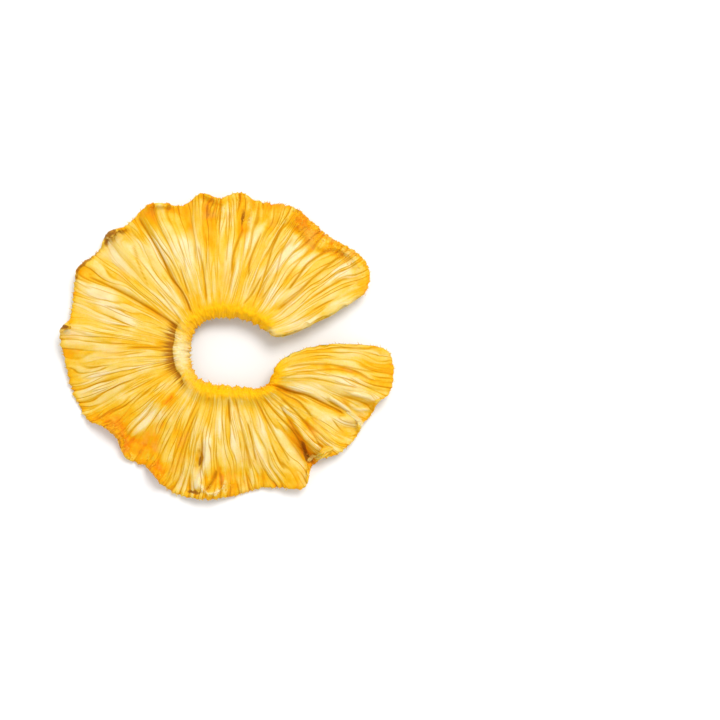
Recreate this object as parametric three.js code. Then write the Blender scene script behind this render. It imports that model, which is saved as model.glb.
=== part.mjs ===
// A dried pineapple ring: one slice of the fruit, cored, dried until it is thin and pleated,
// and torn open along one side from the core hole to the rim.
// Millimetres, +Z up. It lies with its better side up; the origin is at the centre of its base.
import * as THREE from "three";
import { mergeVertices } from "three/addons/utils/BufferGeometryUtils.js";

// ---- Driving dimensions -------------------------------------------------------------------

// The rim and the core hole are given around the hole's centre: an angle in degrees, turning
// from +X towards +Y, and a radius. Both run from the upper lip of the tear to its lower lip.
const RIM = [
  [23.5, 38.5], [29, 41.3], [35, 42.1], [42, 41.0], [48, 39.8], [58, 39.9], [66, 41.0],
  [80, 40.1], [86, 41.6], [94, 40.0], [99.5, 41.8], [108, 40.1], [117, 43.4], [130, 42.8],
  [136, 44.5], [142, 43.2], [150, 44.9], [157, 43.6], [168, 41.9], [173, 43.6], [182, 42.5],
  [199, 41.3], [206, 40.1], [211, 37.3], [218, 36.4], [225, 38.0], [234, 36.2], [243, 38.0],
  [250, 38.7], [262, 38.0], [283, 35.6], [292, 37.4], [300, 39.7], [305.5, 36.3], [311, 36.4],
  [319, 38.6], [338, 39.9], [346, 42.6], [354, 42.5], [361.8, 41.3],
];
const [UPPER_LIP, LOWER_LIP] = [RIM[0][0], RIM.at(-1)[0]];
const HOLE = [
  [24, 10.9], [33, 10.6], [62, 9.4], [90, 8.9], [118, 9.8], [140, 10.5], [180, 10.1],
  [219, 10.3], [243, 9.2], [270, 8.7], [296, 10.1], [310, 12.2], [325.7, 13.8],
];
// Where the fibre that ends at a rim angle begins on the hole.
const FIBRE_START = [
  [23.5, 24], [60, 58], [75, 79], [90, 104], [105, 121], [124, 139], [152, 161], [180, 181],
  [200, 192], [218, 205], [235, 222], [250, 238], [268, 260], [285, 284], [300, 303],
  [320, 313], [340, 320.5], [361.8, 325.7],
];
// How far the fibres bow sideways at a third of their length, by rim angle: most beside the tear.
const FIBRE_BOW = [[23.5, -2.2], [45, 0], [90, 0], [318, 0], [345, 2.8], [361.8, 5.7]];

// Height of the middle of the flesh above the table, by rim angle: at the rim, half way out
// and on the raised collar around the hole.
const RIM_HEIGHT = [
  [23.5, 4.6], [35, 3.2], [50, 0.2], [66, 2.8], [78, 0.3], [88, 2.9], [100, 3.4], [109, 1.2],
  [118, 3.0], [130, 0.4], [142, 0.4], [152, 2.6], [165, 2.0], [173, 4.2], [185, 2.0],
  [200, 0.3], [212, 2.4], [226, 0.4], [240, 3.0], [252, 0.9], [262, 2.8], [276, 0.3],
  [290, 2.0], [300, 3.4], [306, 0.6], [318, 3.2], [331, 0.1], [346, 3.2], [361.8, 4.4],
];
const CROWN_HEIGHT = [
  [23.5, 5.8], [60, 5.0], [100, 5.7], [140, 4.6], [180, 5.3], [220, 4.6], [260, 5.7],
  [300, 5.0], [338, 6.3], [361.8, 6.0],
];
const COLLAR_HEIGHT = [
  [23.5, 6.6], [60, 6.3], [95, 6.1], [140, 5.2], [180, 4.7], [225, 5.2], [270, 6.2],
  [310, 6.8], [361.8, 7.0],
];

// Thickness of the flesh, and the shape of the collar, from the hole (0) to the rim (1).
const THICKNESS = [[0, 2.4], [0.1, 3.2], [0.2, 2.5], [0.5, 2.2], [0.8, 1.9], [1, 1.7]];
const COLLAR_SHAPE = [
  [0, -1.2], [0.04, 0.1], [0.08, 0.8], [0.12, 0.5], [0.16, -0.1], [0.2, -0.5], [0.32, 0], [1, 0],
];
const EDGE_ROUNDING = 0.9; // how far in from an edge the flesh reaches its full thickness
const THINNEST = 0.25; // share of the thickness that is left at the very edge
const LEAST_THICKNESS = 0.5; // mm, where a crease meets the table

// Creases that run with the fibres: rim angle, depth, half width in degrees, and the stretch
// from the hole (0) to the rim (1) over which they run. A negative depth is a ridge.
const CREASE_FADE = 0.07; // over which a crease dies out at its ends
const CREASES = [
  { at: 331.5, depth: 1.4, half: 2.4, from: 0.06, to: 0.72 },
  { at: 345, depth: -0.9, half: 5, from: 0.1, to: 0.95 },
  { at: 307, depth: 1.6, half: 2.4, from: 0.55, to: 1.02 },
  { at: 313, depth: -1.2, half: 2.6, from: 0.7, to: 1.0 },
  { at: 256.8, depth: 1.2, half: 1.6, from: 0.56, to: 0.8 },
  { at: 222, depth: 1.0, half: 8, from: 0.5, to: 1.05 },
  { at: 150, depth: 0.9, half: 2.2, from: 0.1, to: 1.0 },
  { at: 124, depth: 1.0, half: 1.8, from: 0.1, to: 0.97 },
  { at: 98, depth: 0.9, half: 2.4, from: 0.55, to: 1.02 },
  { at: 82.8, depth: 1.3, half: 1.8, from: 0.7, to: 0.88 },
  { at: 60, depth: 0.8, half: 2.2, from: 0.15, to: 0.9 },
  { at: 41.5, depth: 0.9, half: 2.4, from: 0.2, to: 0.95 },
];

// Pleats, which the drying flesh gathers itself into: their number around the ring and depth.
// They start shallow at the hole, and sway sideways in a few slow waves.
const PLEATS = [
  { count: 31, depth: 0.25, sway: 0.5, phase: 0.4 },
  { count: 19, depth: 0.35, sway: 0.7, phase: 2.1 },
];
const PLEAT_START = 0.1; // share of the depth at the hole
const SWAY_AROUND = 5; // waves around the ring
const SWAY_OUTWARD = 3; // radians from the hole to the rim

// Mesh divisions: along the ring, and across it from the hole to the rim.
const ALONG = 168;
const ACROSS = [0, 0.02, 0.05, 0.08, 0.12, 0.16, 0.2, 0.3, 0.42, 0.56, 0.7, 0.84, 0.95, 1];

// ---- Shape functions ----------------------------------------------------------------------

// A smooth curve through [x, y] stations: a cubic with each slope taken from the neighbours.
function through(stations, x) {
  const last = stations.length - 1;
  let k = 0;
  while (k < last - 1 && x > stations[k + 1][0]) k += 1;
  const slope = (i) => {
    const [before, after] = [stations[Math.max(i - 1, 0)], stations[Math.min(i + 1, last)]];
    return (after[1] - before[1]) / (after[0] - before[0]);
  };
  const [x0, y0] = stations[k];
  const [x1, y1] = stations[k + 1];
  const span = x1 - x0;
  const t = THREE.MathUtils.clamp((x - x0) / span, 0, 1);
  const rise = t * t * (3 - 2 * t);
  return (
    y0 + (y1 - y0) * rise +
    span * (slope(k) * t * (1 - t) * (1 - t) - slope(k + 1) * t * t * (1 - t))
  );
}

// 1 between from and to, falling smoothly to 0 over the fade on either side.
function stretch(v, from, to, fade) {
  const { smoothstep } = THREE.MathUtils;
  return smoothstep(v, from - fade, from + fade) * (1 - smoothstep(v, to - fade, to + fade));
}

const polar = (degrees, radius) =>
  new THREE.Vector2(radius, 0).rotateAround(
    new THREE.Vector2(), THREE.MathUtils.degToRad(degrees));

const BOW_PEAK = Math.sqrt(1 / 3) * (2 / 3); // the largest value of sqrt(v) * (1 - v)

// The place in plan of the point on the fibre to a rim angle, at the share v of its length.
function planAt(angle, v) {
  const start = through(FIBRE_START, angle);
  const inner = polar(start, through(HOLE, start));
  const outer = polar(angle, through(RIM, angle));
  const along = outer.clone().sub(inner);
  const side = new THREE.Vector2(-along.y, along.x).normalize();
  const bow = (through(FIBRE_BOW, angle) * Math.sqrt(v) * (1 - v)) / BOW_PEAK;
  return inner.addScaledVector(along, v).addScaledVector(side, bow);
}

// Height of the middle of the flesh: a soft arch from the collar over the crown to the rim.
function archHeight(angle, v) {
  const stations = [
    [0, through(COLLAR_HEIGHT, angle)],
    [0.5, through(CROWN_HEIGHT, angle)],
    [1, through(RIM_HEIGHT, angle)],
  ];
  return through(stations, v) + through(COLLAR_SHAPE, v);
}

function creaseDepth(angle, v) {
  return CREASES.reduce((sum, c) => {
    const across = Math.exp(-(((angle - c.at) / c.half) ** 2));
    return sum + c.depth * across * stretch(v, c.from, c.to, CREASE_FADE);
  }, 0);
}

function pleatHeight(angle, v) {
  const turn = THREE.MathUtils.degToRad(angle);
  const grow = THREE.MathUtils.lerp(PLEAT_START, 1, v);
  return PLEATS.reduce((sum, p) => {
    const wander = p.sway * Math.sin(SWAY_OUTWARD * v + SWAY_AROUND * turn + p.phase);
    return sum + p.depth * grow * Math.cos(p.count * turn + wander + p.phase);
  }, 0);
}

// The share of the full thickness: all of it inside, less towards each edge, which is rounded.
function edgeShare(u, v, angle) {
  const [holeRadius, rimRadius] = [through(HOLE, through(FIBRE_START, angle)), through(RIM, angle)];
  const length = rimRadius - holeRadius;
  const arc = THREE.MathUtils.degToRad(LOWER_LIP - UPPER_LIP) *
    THREE.MathUtils.lerp(holeRadius, rimRadius, v);
  const inset = Math.min(v * length, (1 - v) * length, u * arc, (1 - u) * arc);
  const share = THREE.MathUtils.clamp(inset / EDGE_ROUNDING, 0, 1);
  return THINNEST + (1 - THINNEST) * Math.sqrt(1 - (1 - share) ** 2);
}

// The upper and lower skin of the flesh at the share u along the ring and v across it.
function skins(u, v) {
  const angle = THREE.MathUtils.lerp(UPPER_LIP, LOWER_LIP, u);
  const plan = planAt(angle, v);
  const middle = archHeight(angle, v) + pleatHeight(angle, v) - creaseDepth(angle, v);
  const half = (through(THICKNESS, v) / 2) * edgeShare(u, v, angle);
  const low = Math.max(middle - half, 0); // the table flattens what touches it
  const high = Math.max(middle + half, low + LEAST_THICKNESS);
  return [new THREE.Vector3(plan.x, plan.y, high), new THREE.Vector3(plan.x, plan.y, low)];
}

// ---- The solid ----------------------------------------------------------------------------

// Both skins as grids of points, sewn together along the hole, the rim and the two lips.
function fleshGeometry() {
  const rows = ALONG + 1;
  const columns = ACROSS.length;
  const points = [[], []];
  for (let i = 0; i < rows; i += 1)
    for (const v of ACROSS)
      skins(i / ALONG, v).forEach((point, side) => points[side].push(point));
  const vertices = points.flat();
  const at = (side, i, j) => side * rows * columns + i * columns + j;
  const faces = [];
  const quad = (a, b, c, d) => faces.push(a, b, c, a, c, d);
  for (let i = 0; i < ALONG; i += 1)
    for (let j = 0; j < columns - 1; j += 1) {
      quad(at(0, i, j), at(0, i, j + 1), at(0, i + 1, j + 1), at(0, i + 1, j));
      quad(at(1, i, j), at(1, i + 1, j), at(1, i + 1, j + 1), at(1, i, j + 1));
    }
  const rimColumn = columns - 1;
  for (let i = 0; i < ALONG; i += 1) {
    quad(at(0, i, 0), at(0, i + 1, 0), at(1, i + 1, 0), at(1, i, 0));
    quad(at(1, i, rimColumn), at(1, i + 1, rimColumn), at(0, i + 1, rimColumn), at(0, i, rimColumn));
  }
  for (let j = 0; j < rimColumn; j += 1) {
    quad(at(1, 0, j), at(1, 0, j + 1), at(0, 0, j + 1), at(0, 0, j));
    quad(at(0, ALONG, j), at(0, ALONG, j + 1), at(1, ALONG, j + 1), at(1, ALONG, j));
  }
  const geometry = new THREE.BufferGeometry().setFromPoints(vertices).setIndex(faces);
  return mergeVertices(geometry, 1e-4);
}

// Moves a geometry so that the centre of its base is at the origin.
function standOnOrigin(geometry) {
  geometry.computeBoundingBox();
  const { min, max } = geometry.boundingBox;
  return geometry.translate(-(min.x + max.x) / 2, -(min.y + max.y) / 2, -min.z);
}

const flesh = new THREE.MeshStandardMaterial({ color: 0xf8c548, roughness: 0.55, metalness: 0 });

function driedRing() {
  const geometry = standOnOrigin(fleshGeometry());
  geometry.computeVertexNormals();
  const ring = new THREE.Mesh(geometry, flesh);
  ring.name = "ring";
  return ring;
}

const part = new THREE.Group();
part.add(driedRing());
export default part;
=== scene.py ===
# %% [markdown]
# # A dried pineapple ring
# A slice of pineapple is cored, dried and turns into something between leather and paper. The
# juice goes, the fibres stay, and the flesh between them gathers into pleats that run from the
# core hole to the rim. This ring has also torn open on one side. The solid model gives its place
# and size; here it gets the pleats, the frilled rim, the fibre ends and the colours.

# %% Load the solid ring
import math

import bpy
import numpy as np
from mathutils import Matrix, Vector


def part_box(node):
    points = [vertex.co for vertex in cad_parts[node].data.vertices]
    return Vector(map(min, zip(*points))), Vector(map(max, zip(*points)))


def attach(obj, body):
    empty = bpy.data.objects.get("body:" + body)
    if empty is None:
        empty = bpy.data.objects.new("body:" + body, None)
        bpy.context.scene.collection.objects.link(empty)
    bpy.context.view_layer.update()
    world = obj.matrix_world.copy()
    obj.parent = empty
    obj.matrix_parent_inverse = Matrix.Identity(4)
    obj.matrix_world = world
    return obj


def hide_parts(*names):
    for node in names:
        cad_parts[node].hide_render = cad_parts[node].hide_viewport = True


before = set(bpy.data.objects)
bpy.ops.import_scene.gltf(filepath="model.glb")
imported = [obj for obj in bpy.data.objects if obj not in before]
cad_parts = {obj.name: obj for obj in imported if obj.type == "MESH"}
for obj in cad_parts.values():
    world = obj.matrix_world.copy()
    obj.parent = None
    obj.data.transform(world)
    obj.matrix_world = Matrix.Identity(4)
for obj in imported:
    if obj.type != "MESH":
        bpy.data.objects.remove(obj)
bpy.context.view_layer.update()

MM = 0.001
ring_low, ring_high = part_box("ring")
print("solid ring, mm:", [round(side / MM, 1) for side in ring_high - ring_low])

# %% [markdown]
# ## Table, light and camera
# Dried fruit is shown on bright white, with the light coming from beyond the top of the picture.
# One broad lamp models the pleats, and a pale world fills their shadows. The ring lies down, so
# the camera looks down on it, almost straight, through a long lens that keeps its outline true.

# %% Camera
VIEW_CENTRE = Vector((34.8, -4.0, 5.0)) * MM  # the ring lies left of the middle
VIEW_WIDTH = 187.2 * MM
ELEVATION = math.radians(87)
LENS = 85.0  # mm, on a sensor 36 mm wide
SENSOR = 36.0
NEAREST = 10 * MM


def add_object(name, data):
    made = bpy.data.objects.new(name, data)
    bpy.context.scene.collection.objects.link(made)
    return made


camera = add_object("Camera", bpy.data.cameras.new("Camera"))
camera.data.lens = LENS
camera.data.sensor_width = SENSOR
camera.data.clip_start = NEAREST
stand_off = VIEW_WIDTH * LENS / SENSOR
backwards = Vector((0, -math.cos(ELEVATION), math.sin(ELEVATION)))
camera.location = VIEW_CENTRE + backwards * stand_off
camera.rotation_euler = (math.pi / 2 - ELEVATION, 0, 0)
bpy.context.scene.camera = camera
bpy.context.scene.view_settings.view_transform = "Standard"
print("camera stands off, mm:", round(stand_off / MM))

# %% Lamp and world
KEY_PLACE = Vector((400, 560, 1300)) * MM
KEY_SIZE = 700 * MM
KEY_POWER = 13.0  # W
WORLD_STRENGTH = 0.82
WORLD_COLOUR = (0.98, 0.99, 1.0, 1)


def area_lamp(name, place, size, power):
    lamp = add_object(name, bpy.data.lights.new(name, "AREA"))
    lamp.data.shape = "DISK"
    lamp.data.size = size
    lamp.data.energy = power
    lamp.location = place
    lamp.rotation_mode = "QUATERNION"
    lamp.rotation_quaternion = (-place).to_track_quat("-Z", "Y")
    return lamp


key = area_lamp("Key", KEY_PLACE, KEY_SIZE, KEY_POWER)
world = bpy.data.worlds.new("Bright room")
world.use_nodes = True
world.node_tree.nodes["Background"].inputs["Color"].default_value = WORLD_COLOUR
world.node_tree.nodes["Background"].inputs["Strength"].default_value = WORLD_STRENGTH
bpy.context.scene.world = world
print("lamp stands off, mm:", round(key.location.length / MM))

# %% [markdown]
# ## Node trees that read like sums
# The same pattern of pleats has to shape the mesh, in Geometry Nodes, and colour it, in the
# material. So one small class wraps a socket and turns Python's operators into Math nodes, and
# another adds any node to a tree of either kind. A pattern is then one function for both.


# %% Wires
class Wire:
    """A socket that takes part in sums: each operator adds one Math node."""

    def __init__(self, board, socket):
        self.board = board
        self.socket = socket

    def maths(self, operation, *values):
        return self.board.add("ShaderNodeMath", {"operation": operation}, dict(enumerate(values)))

    def __add__(self, other):
        return self.maths("ADD", self, other)

    __radd__ = __add__

    def __sub__(self, other):
        return self.maths("SUBTRACT", self, other)

    def __rsub__(self, other):
        return self.maths("SUBTRACT", other, self)

    def __mul__(self, other):
        return self.maths("MULTIPLY", self, other)

    __rmul__ = __mul__

    def __truediv__(self, other):
        return self.maths("DIVIDE", self, other)

    def __abs__(self):
        return self.maths("ABSOLUTE", self)

    def most(self, other):
        return self.maths("MAXIMUM", self, other)

    def least(self, other):
        return self.maths("MINIMUM", self, other)


# %% Boards
class Board:
    """A node tree, and short ways to add nodes to it."""

    def __init__(self, tree):
        self.tree = tree

    def add(self, kind, settings=None, inputs=None, output=0):
        node = self.tree.nodes.new(kind)
        for name, value in (settings or {}).items():
            setattr(node, name, value)
        for name, value in (inputs or {}).items():
            self.feed(node.inputs[name], value)
        return Wire(self, node.outputs[output])

    def feed(self, socket, value):
        if isinstance(value, Wire):
            self.tree.links.new(value.socket, socket)
        else:
            socket.default_value = value

    def vector(self, x=0.0, y=0.0, z=0.0):
        return self.add("ShaderNodeCombineXYZ", None, {0: x, 1: y, 2: z})

    def scaled(self, vector, by):
        return self.add("ShaderNodeVectorMath", {"operation": "SCALE"}, {"Vector": vector, "Scale": by})

    def joined(self, one, other):
        return self.add("ShaderNodeVectorMath", {"operation": "ADD"}, {0: one, 1: other})

    def ramp(self, value, low, high):
        """0 below low, 1 above high, and smooth between them."""
        ends = {"Value": value, "From Min": low, "From Max": high}
        return self.add("ShaderNodeMapRange", {"interpolation_type": "SMOOTHSTEP"}, ends)

    def blend(self, share, one, other):
        """The colour one at share 0 and the colour other at share 1: sockets 6 and 7 of a Mix node."""
        return self.add("ShaderNodeMix", {"data_type": "RGBA"}, {0: share, 6: one, 7: other}, 2)

    def stops(self, value, colours):
        """The colour at a value, read between the stops of a ramp."""
        node = self.tree.nodes.new("ShaderNodeValToRGB")
        stops = node.color_ramp.elements
        for place, _ in colours[2:]:
            stops.new(place)
        for stop, (place, colour) in zip(stops, colours):
            stop.position = place
            stop.color = colour
        self.feed(node.inputs["Fac"], value)
        return Wire(self, node.outputs["Color"])

    def noise(self, place, scale=1.0, detail=0.0, flat=True):
        settings = {"noise_dimensions": "2D" if flat else "3D"}
        return self.add("ShaderNodeTexNoise", settings, {"Vector": place, "Scale": scale, "Detail": detail})


# %% [markdown]
# ## The outline of the flesh
# Every fibre starts at the hole and ends at the rim, so a point of the flesh is named by two
# numbers: the turn, which is the angle where its fibre meets the rim, and its share of the way
# out. The outline is a few stations of angle and radius around the hole, the same ones as in the
# solid, joined by a smooth curve. The lobes of the rim and the corners of the tear are in it.

# %% Stations of the outline
FULL_TURN = 360
RIM = [  # turn around the hole, and radius in mm
    [23.5, 38.5], [29, 41.3], [35, 42.1], [42, 41.0], [48, 39.8], [58, 39.9], [66, 41.0],
    [80, 40.1], [86, 41.6], [94, 40.0], [99.5, 41.8], [108, 40.1], [117, 43.4], [130, 42.8],
    [136, 44.5], [142, 43.2], [150, 44.9], [157, 43.6], [168, 41.9], [173, 43.6], [182, 42.5],
    [199, 41.3], [206, 40.1], [211, 37.3], [218, 36.4], [225, 38.0], [234, 36.2], [243, 38.0],
    [250, 38.7], [262, 38.0], [283, 35.6], [292, 37.4], [300, 39.7], [305.5, 36.3], [311, 36.4],
    [319, 38.6], [338, 39.9], [346, 42.6], [354, 42.5], [361.8, 41.3],
]
HOLE = [
    [24, 10.9], [33, 10.6], [62, 9.4], [90, 8.9], [118, 9.8], [140, 10.5], [180, 10.1], [219, 10.3],
    [243, 9.2], [270, 8.7], [296, 10.1], [310, 12.2], [325.7, 13.8],
]
FIBRE_START = [  # where around the hole a fibre starts that ends at a turn of the rim
    [23.5, 24], [60, 58], [75, 79], [90, 104], [105, 121], [124, 139], [152, 161], [180, 181],
    [200, 192], [218, 205], [235, 222], [250, 238], [268, 260], [285, 284], [300, 303], [320, 313],
    [340, 320.5], [361.8, 325.7],
]
FIBRE_BOW = [[23.5, -2.2], [45, 0], [90, 0], [318, 0], [345, 2.8], [361.8, 5.7]]  # mm that it bends
BOW_PEAK = math.sqrt(1 / 3) * (2 / 3)  # the largest value of sqrt(v) * (1 - v)
UPPER_LIP = RIM[0][0]
LOWER_LIP = RIM[-1][0]
print("the tear takes, degrees of the rim:", round(FULL_TURN - LOWER_LIP + UPPER_LIP, 1))


# %% Curves through stations
def through(stations, x):
    """A smooth curve through [x, y] stations: a cubic with each slope taken from the neighbours."""
    xs, ys = np.array(stations, float).T
    order = np.arange(len(xs))
    before = np.maximum(order - 1, 0)
    after = np.minimum(order + 1, len(xs) - 1)
    slope = (ys[after] - ys[before]) / (xs[after] - xs[before])
    k = np.clip(np.searchsorted(xs, x) - 1, 0, len(xs) - 2)
    span = xs[k + 1] - xs[k]
    t = np.clip((x - xs[k]) / span, 0, 1)
    rise = t * t * (3 - 2 * t)
    bend = slope[k] * t * (1 - t) ** 2 - slope[k + 1] * t * t * (1 - t)
    return ys[k] + (ys[k + 1] - ys[k]) * rise + span * bend


def polar(degrees, radius):
    return np.stack([radius * np.cos(np.radians(degrees)), radius * np.sin(np.radians(degrees))], -1)


def plan_at(turn, out):
    """Place in plan, mm, of the point at the share out along the fibre to a turn, and its way out."""
    start = through(FIBRE_START, turn)
    inner = polar(start, through(HOLE, start))
    along = polar(turn, through(RIM, turn)) - inner
    way = along / np.linalg.norm(along, axis=-1, keepdims=True)
    side = np.stack([-way[..., 1], way[..., 0]], -1)
    bow = through(FIBRE_BOW, turn) * np.sqrt(out) * (1 - out) / BOW_PEAK
    return inner + along * out[..., None] + side * bow[..., None], way, side


lips = plan_at(np.array([UPPER_LIP, LOWER_LIP]), np.ones(2))[0]
print("the tear gapes at the rim, mm:", round(float(np.linalg.norm(lips[0] - lips[1])), 1))

# %% [markdown]
# ## The height of the flesh
# The ring doesn't dry flat. Its collar around the hole stands up, the middle arches, and the rim
# goes up and down in lobes whose lowest folds touch the table. A few deep creases follow the
# fibres. These are the solid's own heights, so the two agree; only the fine pleats come later.

# %% Stations of height
RIM_HEIGHT = [
    [23.5, 4.6], [35, 3.2], [50, 0.2], [66, 2.8], [78, 0.3], [88, 2.9], [100, 3.4], [109, 1.2],
    [118, 3.0], [130, 0.4], [142, 0.4], [152, 2.6], [165, 2.0], [173, 4.2], [185, 2.0], [200, 0.3],
    [212, 2.4], [226, 0.4], [240, 3.0], [252, 0.9], [262, 2.8], [276, 0.3], [290, 2.0], [300, 3.4],
    [306, 0.6], [318, 3.2], [331, 0.1], [346, 3.2], [361.8, 4.4],
]
CROWN_HEIGHT = [
    [23.5, 5.8], [60, 5.0], [100, 5.7], [140, 4.6], [180, 5.3], [220, 4.6], [260, 5.7], [300, 5.0],
    [338, 6.3], [361.8, 6.0],
]
COLLAR_HEIGHT = [
    [23.5, 6.6], [60, 6.3], [95, 6.1], [140, 5.2], [180, 4.7], [225, 5.2], [270, 6.2], [310, 6.8],
    [361.8, 7.0],
]
COLLAR_SHAPE = [
    [0, -1.2], [0.04, 0.1], [0.08, 0.8], [0.12, 0.5], [0.16, -0.1], [0.2, -0.5], [0.32, 0], [1, 0],
]
THICKNESS = [[0, 2.4], [0.1, 3.2], [0.2, 2.5], [0.5, 2.2], [0.8, 1.9], [1, 1.7]]
CREASES = [  # turn, depth in mm, half width in degrees, and the stretch of the way out
    (331.5, 1.4, 2.4, 0.06, 0.72), (345, -0.9, 5, 0.1, 0.95), (307, 1.6, 2.4, 0.55, 1.02),
    (313, -1.2, 2.6, 0.7, 1.0), (256.8, 1.2, 1.6, 0.56, 0.8), (222, 1.0, 8, 0.5, 1.05),
    (150, 0.9, 2.2, 0.1, 1.0), (124, 1.0, 1.8, 0.1, 0.97), (98, 0.9, 2.4, 0.55, 1.02),
    (82.8, 1.3, 1.8, 0.7, 0.88), (60, 0.8, 2.2, 0.15, 0.9), (41.5, 0.9, 2.4, 0.2, 0.95),
]
CREASE_FADE = 0.07
CROWN_OUT = 0.5  # the crown is halfway from the hole to the rim
EDGE_ROUNDING = 0.9  # mm
THINNEST = 0.25  # share of the full thickness
LEAST_THICKNESS = 0.5  # mm
print("deep creases:", len(CREASES))


# %% Height of the middle of the flesh
def smoothstep(x, low, high):
    t = np.clip((x - low) / (high - low), 0, 1)
    return t * t * (3 - 2 * t)


def bell(x, middle, half):
    """1 in the middle, and fading to nothing at about twice the half width."""
    return np.exp(-(((x - middle) / half) ** 2))


def arch_height(turn, out):
    """A cubic from the collar over the crown to the rim, with the collar's own bump on it."""
    collar, crown, rim = (through(s, turn) for s in (COLLAR_HEIGHT, CROWN_HEIGHT, RIM_HEIGHT))
    inside = out <= CROWN_OUT
    t = np.where(inside, out, out - CROWN_OUT) / CROWN_OUT
    low, high = np.where(inside, collar, crown), np.where(inside, crown, rim)
    slope_low = np.where(inside, (crown - collar) / CROWN_OUT, rim - collar)
    slope_high = np.where(inside, rim - collar, (rim - crown) / CROWN_OUT)
    rise = low + (high - low) * t * t * (3 - 2 * t)
    bend = CROWN_OUT * (slope_low * t * (1 - t) ** 2 - slope_high * t * t * (1 - t))
    return rise + bend + through(COLLAR_SHAPE, out)


def crease_depth(turn, out):
    total = np.zeros_like(turn)
    for at, depth, half, start, end in CREASES:
        stretch = smoothstep(out, start - CREASE_FADE, start + CREASE_FADE)
        stretch = stretch * (1 - smoothstep(out, end - CREASE_FADE, end + CREASE_FADE))
        total += depth * bell(turn, at, half) * stretch
    return total


def edge_share(turn, out):
    """The share of the full thickness: all of it inside, less towards each edge."""
    hole = through(HOLE, through(FIBRE_START, turn))
    length = through(RIM, turn) - hole
    radius = hole + length * out
    inset = np.minimum(out, 1 - out) * length
    lip = np.radians(np.minimum(turn - UPPER_LIP, LOWER_LIP - turn)) * radius
    share = np.clip(np.minimum(inset, lip) / EDGE_ROUNDING, 0, 1)
    return THINNEST + (1 - THINNEST) * np.sqrt(1 - (1 - share) ** 2)


turns = np.linspace(UPPER_LIP, LOWER_LIP)
crown = arch_height(turns, np.full_like(turns, CROWN_OUT))
print("the crown stands, mm:", crown.min().round(1), "to", crown.max().round(1))

# %% [markdown]
# ## Edges that curl
# Thin edges dry first and roll up towards the drier side. Each edge is bent here like a strip of
# paper: its last few millimetres follow an arc, and the flesh behind is drawn outwards, so that
# the roll still reaches the outline. Where the roll passes a quarter turn, the underside shows.
# The corners of the tear dried round: near each one, points are drawn from a square to a circle.

# %% Stations of the rolled edges
RIM_CURL = [  # turn, and the angle in degrees that the rim has rolled up
    [23.5, 10], [31, 15], [36, 30], [42, 35], [47, 50], [51, 25], [58, 45], [63, 35], [67.5, 15],
    [76, 15], [84, 45], [90, 25], [97, 75], [102, 30], [109, 50], [116, 95], [120.5, 30], [127, 20],
    [131, 80], [135, 140], [139, 80], [143, 15], [148, 50], [153, 85], [157.5, 25], [164, 15],
    [168.5, 40], [171.5, 160], [174.5, 40], [181, 15], [198, 15], [206, 50], [213, 110], [220, 120],
    [226, 55], [233, 35], [239.5, 110], [243.5, 30], [249, 15], [254, 60], [257, 50], [259.5, 35],
    [262, 25], [265, 25], [268, 45], [271.5, 30], [277, 15], [293, 15], [299, 30], [303.5, 95],
    [307, 20], [311.5, 110], [316, 30], [324, 20], [328, 40], [331.5, 140], [334.5, 30], [338, 50],
    [342, 130], [345.5, 30], [353, 25], [361.8, 10],
]
LIP_CURL = [  # share of the way out, and the angle that the upper lip of the tear has rolled up
    [0, 0], [0.08, 15], [0.16, 28], [0.3, 32], [0.42, 24], [0.55, 12], [0.7, 22], [0.84, 10],
    [1, 0],
]
CURL_LEAST = 1.2  # mm of edge that is bent where it hardly rolls
CURL_MOST = 5.4  # and where it rolls furthest
CURL_MOST_AT = 150
LIP_LENGTH = 2.2
CURL_DRAW = 4  # lengths of flesh behind an edge that are drawn outwards
CURL_THINS = 0.45  # the share by which a roll is thinner
CURL_THINS_AT = 90
CURL_THINS_FROM = (0.8, 0.95)  # share of the way out
LEAST_ROLL = 0.01  # radians
TINY = 1e-9
CORNERS = [  # the end of the fibres (0 the hole, 1 the rim), the lip of the tear, and the radius in mm
    (0, UPPER_LIP, 2.2), (1, UPPER_LIP, 1.2), (0, LOWER_LIP, 2.0), (1, LOWER_LIP, 3.2),
]
print("the rim rolls up by as much as, degrees:", max(angle for _, angle in RIM_CURL))


# %% Bend an edge, round a corner
def curl(to_edge, length, angle):
    """How far a point of a rolled edge moves ahead and up, in mm, and how steeply it stands."""
    angle = np.maximum(angle, LEAST_ROLL)
    radius = length / angle
    bent = np.maximum(length - to_edge, 0)
    steep = bent / radius
    spare = length - radius * np.sin(np.minimum(angle, math.pi / 2))
    drawn = spare * (1 - smoothstep(to_edge, length, CURL_DRAW * length))
    return radius * np.sin(steep) - bent + drawn, radius * (1 - np.cos(steep)), steep


def corner_shift(turn, out, hole, length):
    """How far points move ahead and aside, in mm, so that the corners of the tear are round."""
    ahead, aside = np.zeros_like(turn), np.zeros_like(turn)
    for end, lip, radius in CORNERS:
        from_end = np.maximum(radius - abs(out - end) * length, 0)
        from_lip = np.maximum(radius - np.radians(abs(turn - lip)) * (hole + length * out), 0)
        spare = 1 - np.maximum(from_end, from_lip) / np.maximum(np.hypot(from_end, from_lip), TINY)
        ahead += from_end * spare * (1 - 2 * end)
        aside += from_lip * spare * (1 if lip == UPPER_LIP else -1)
    return ahead, aside


def unit(vectors):
    return vectors / np.linalg.norm(vectors, axis=-1, keepdims=True)


# %% [markdown]
# ## Two skins, sewn together
# The flesh is a closed sheet: an upper and a lower skin, each a grid of turns by shares of the
# way out. The pleats run outwards, so the grid is fine around the ring and coarse along the
# fibres. The lower skin is seen less and gets half as many rows, and the two are zipped together
# along the hole, the rim and the lips of the tear.

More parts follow.
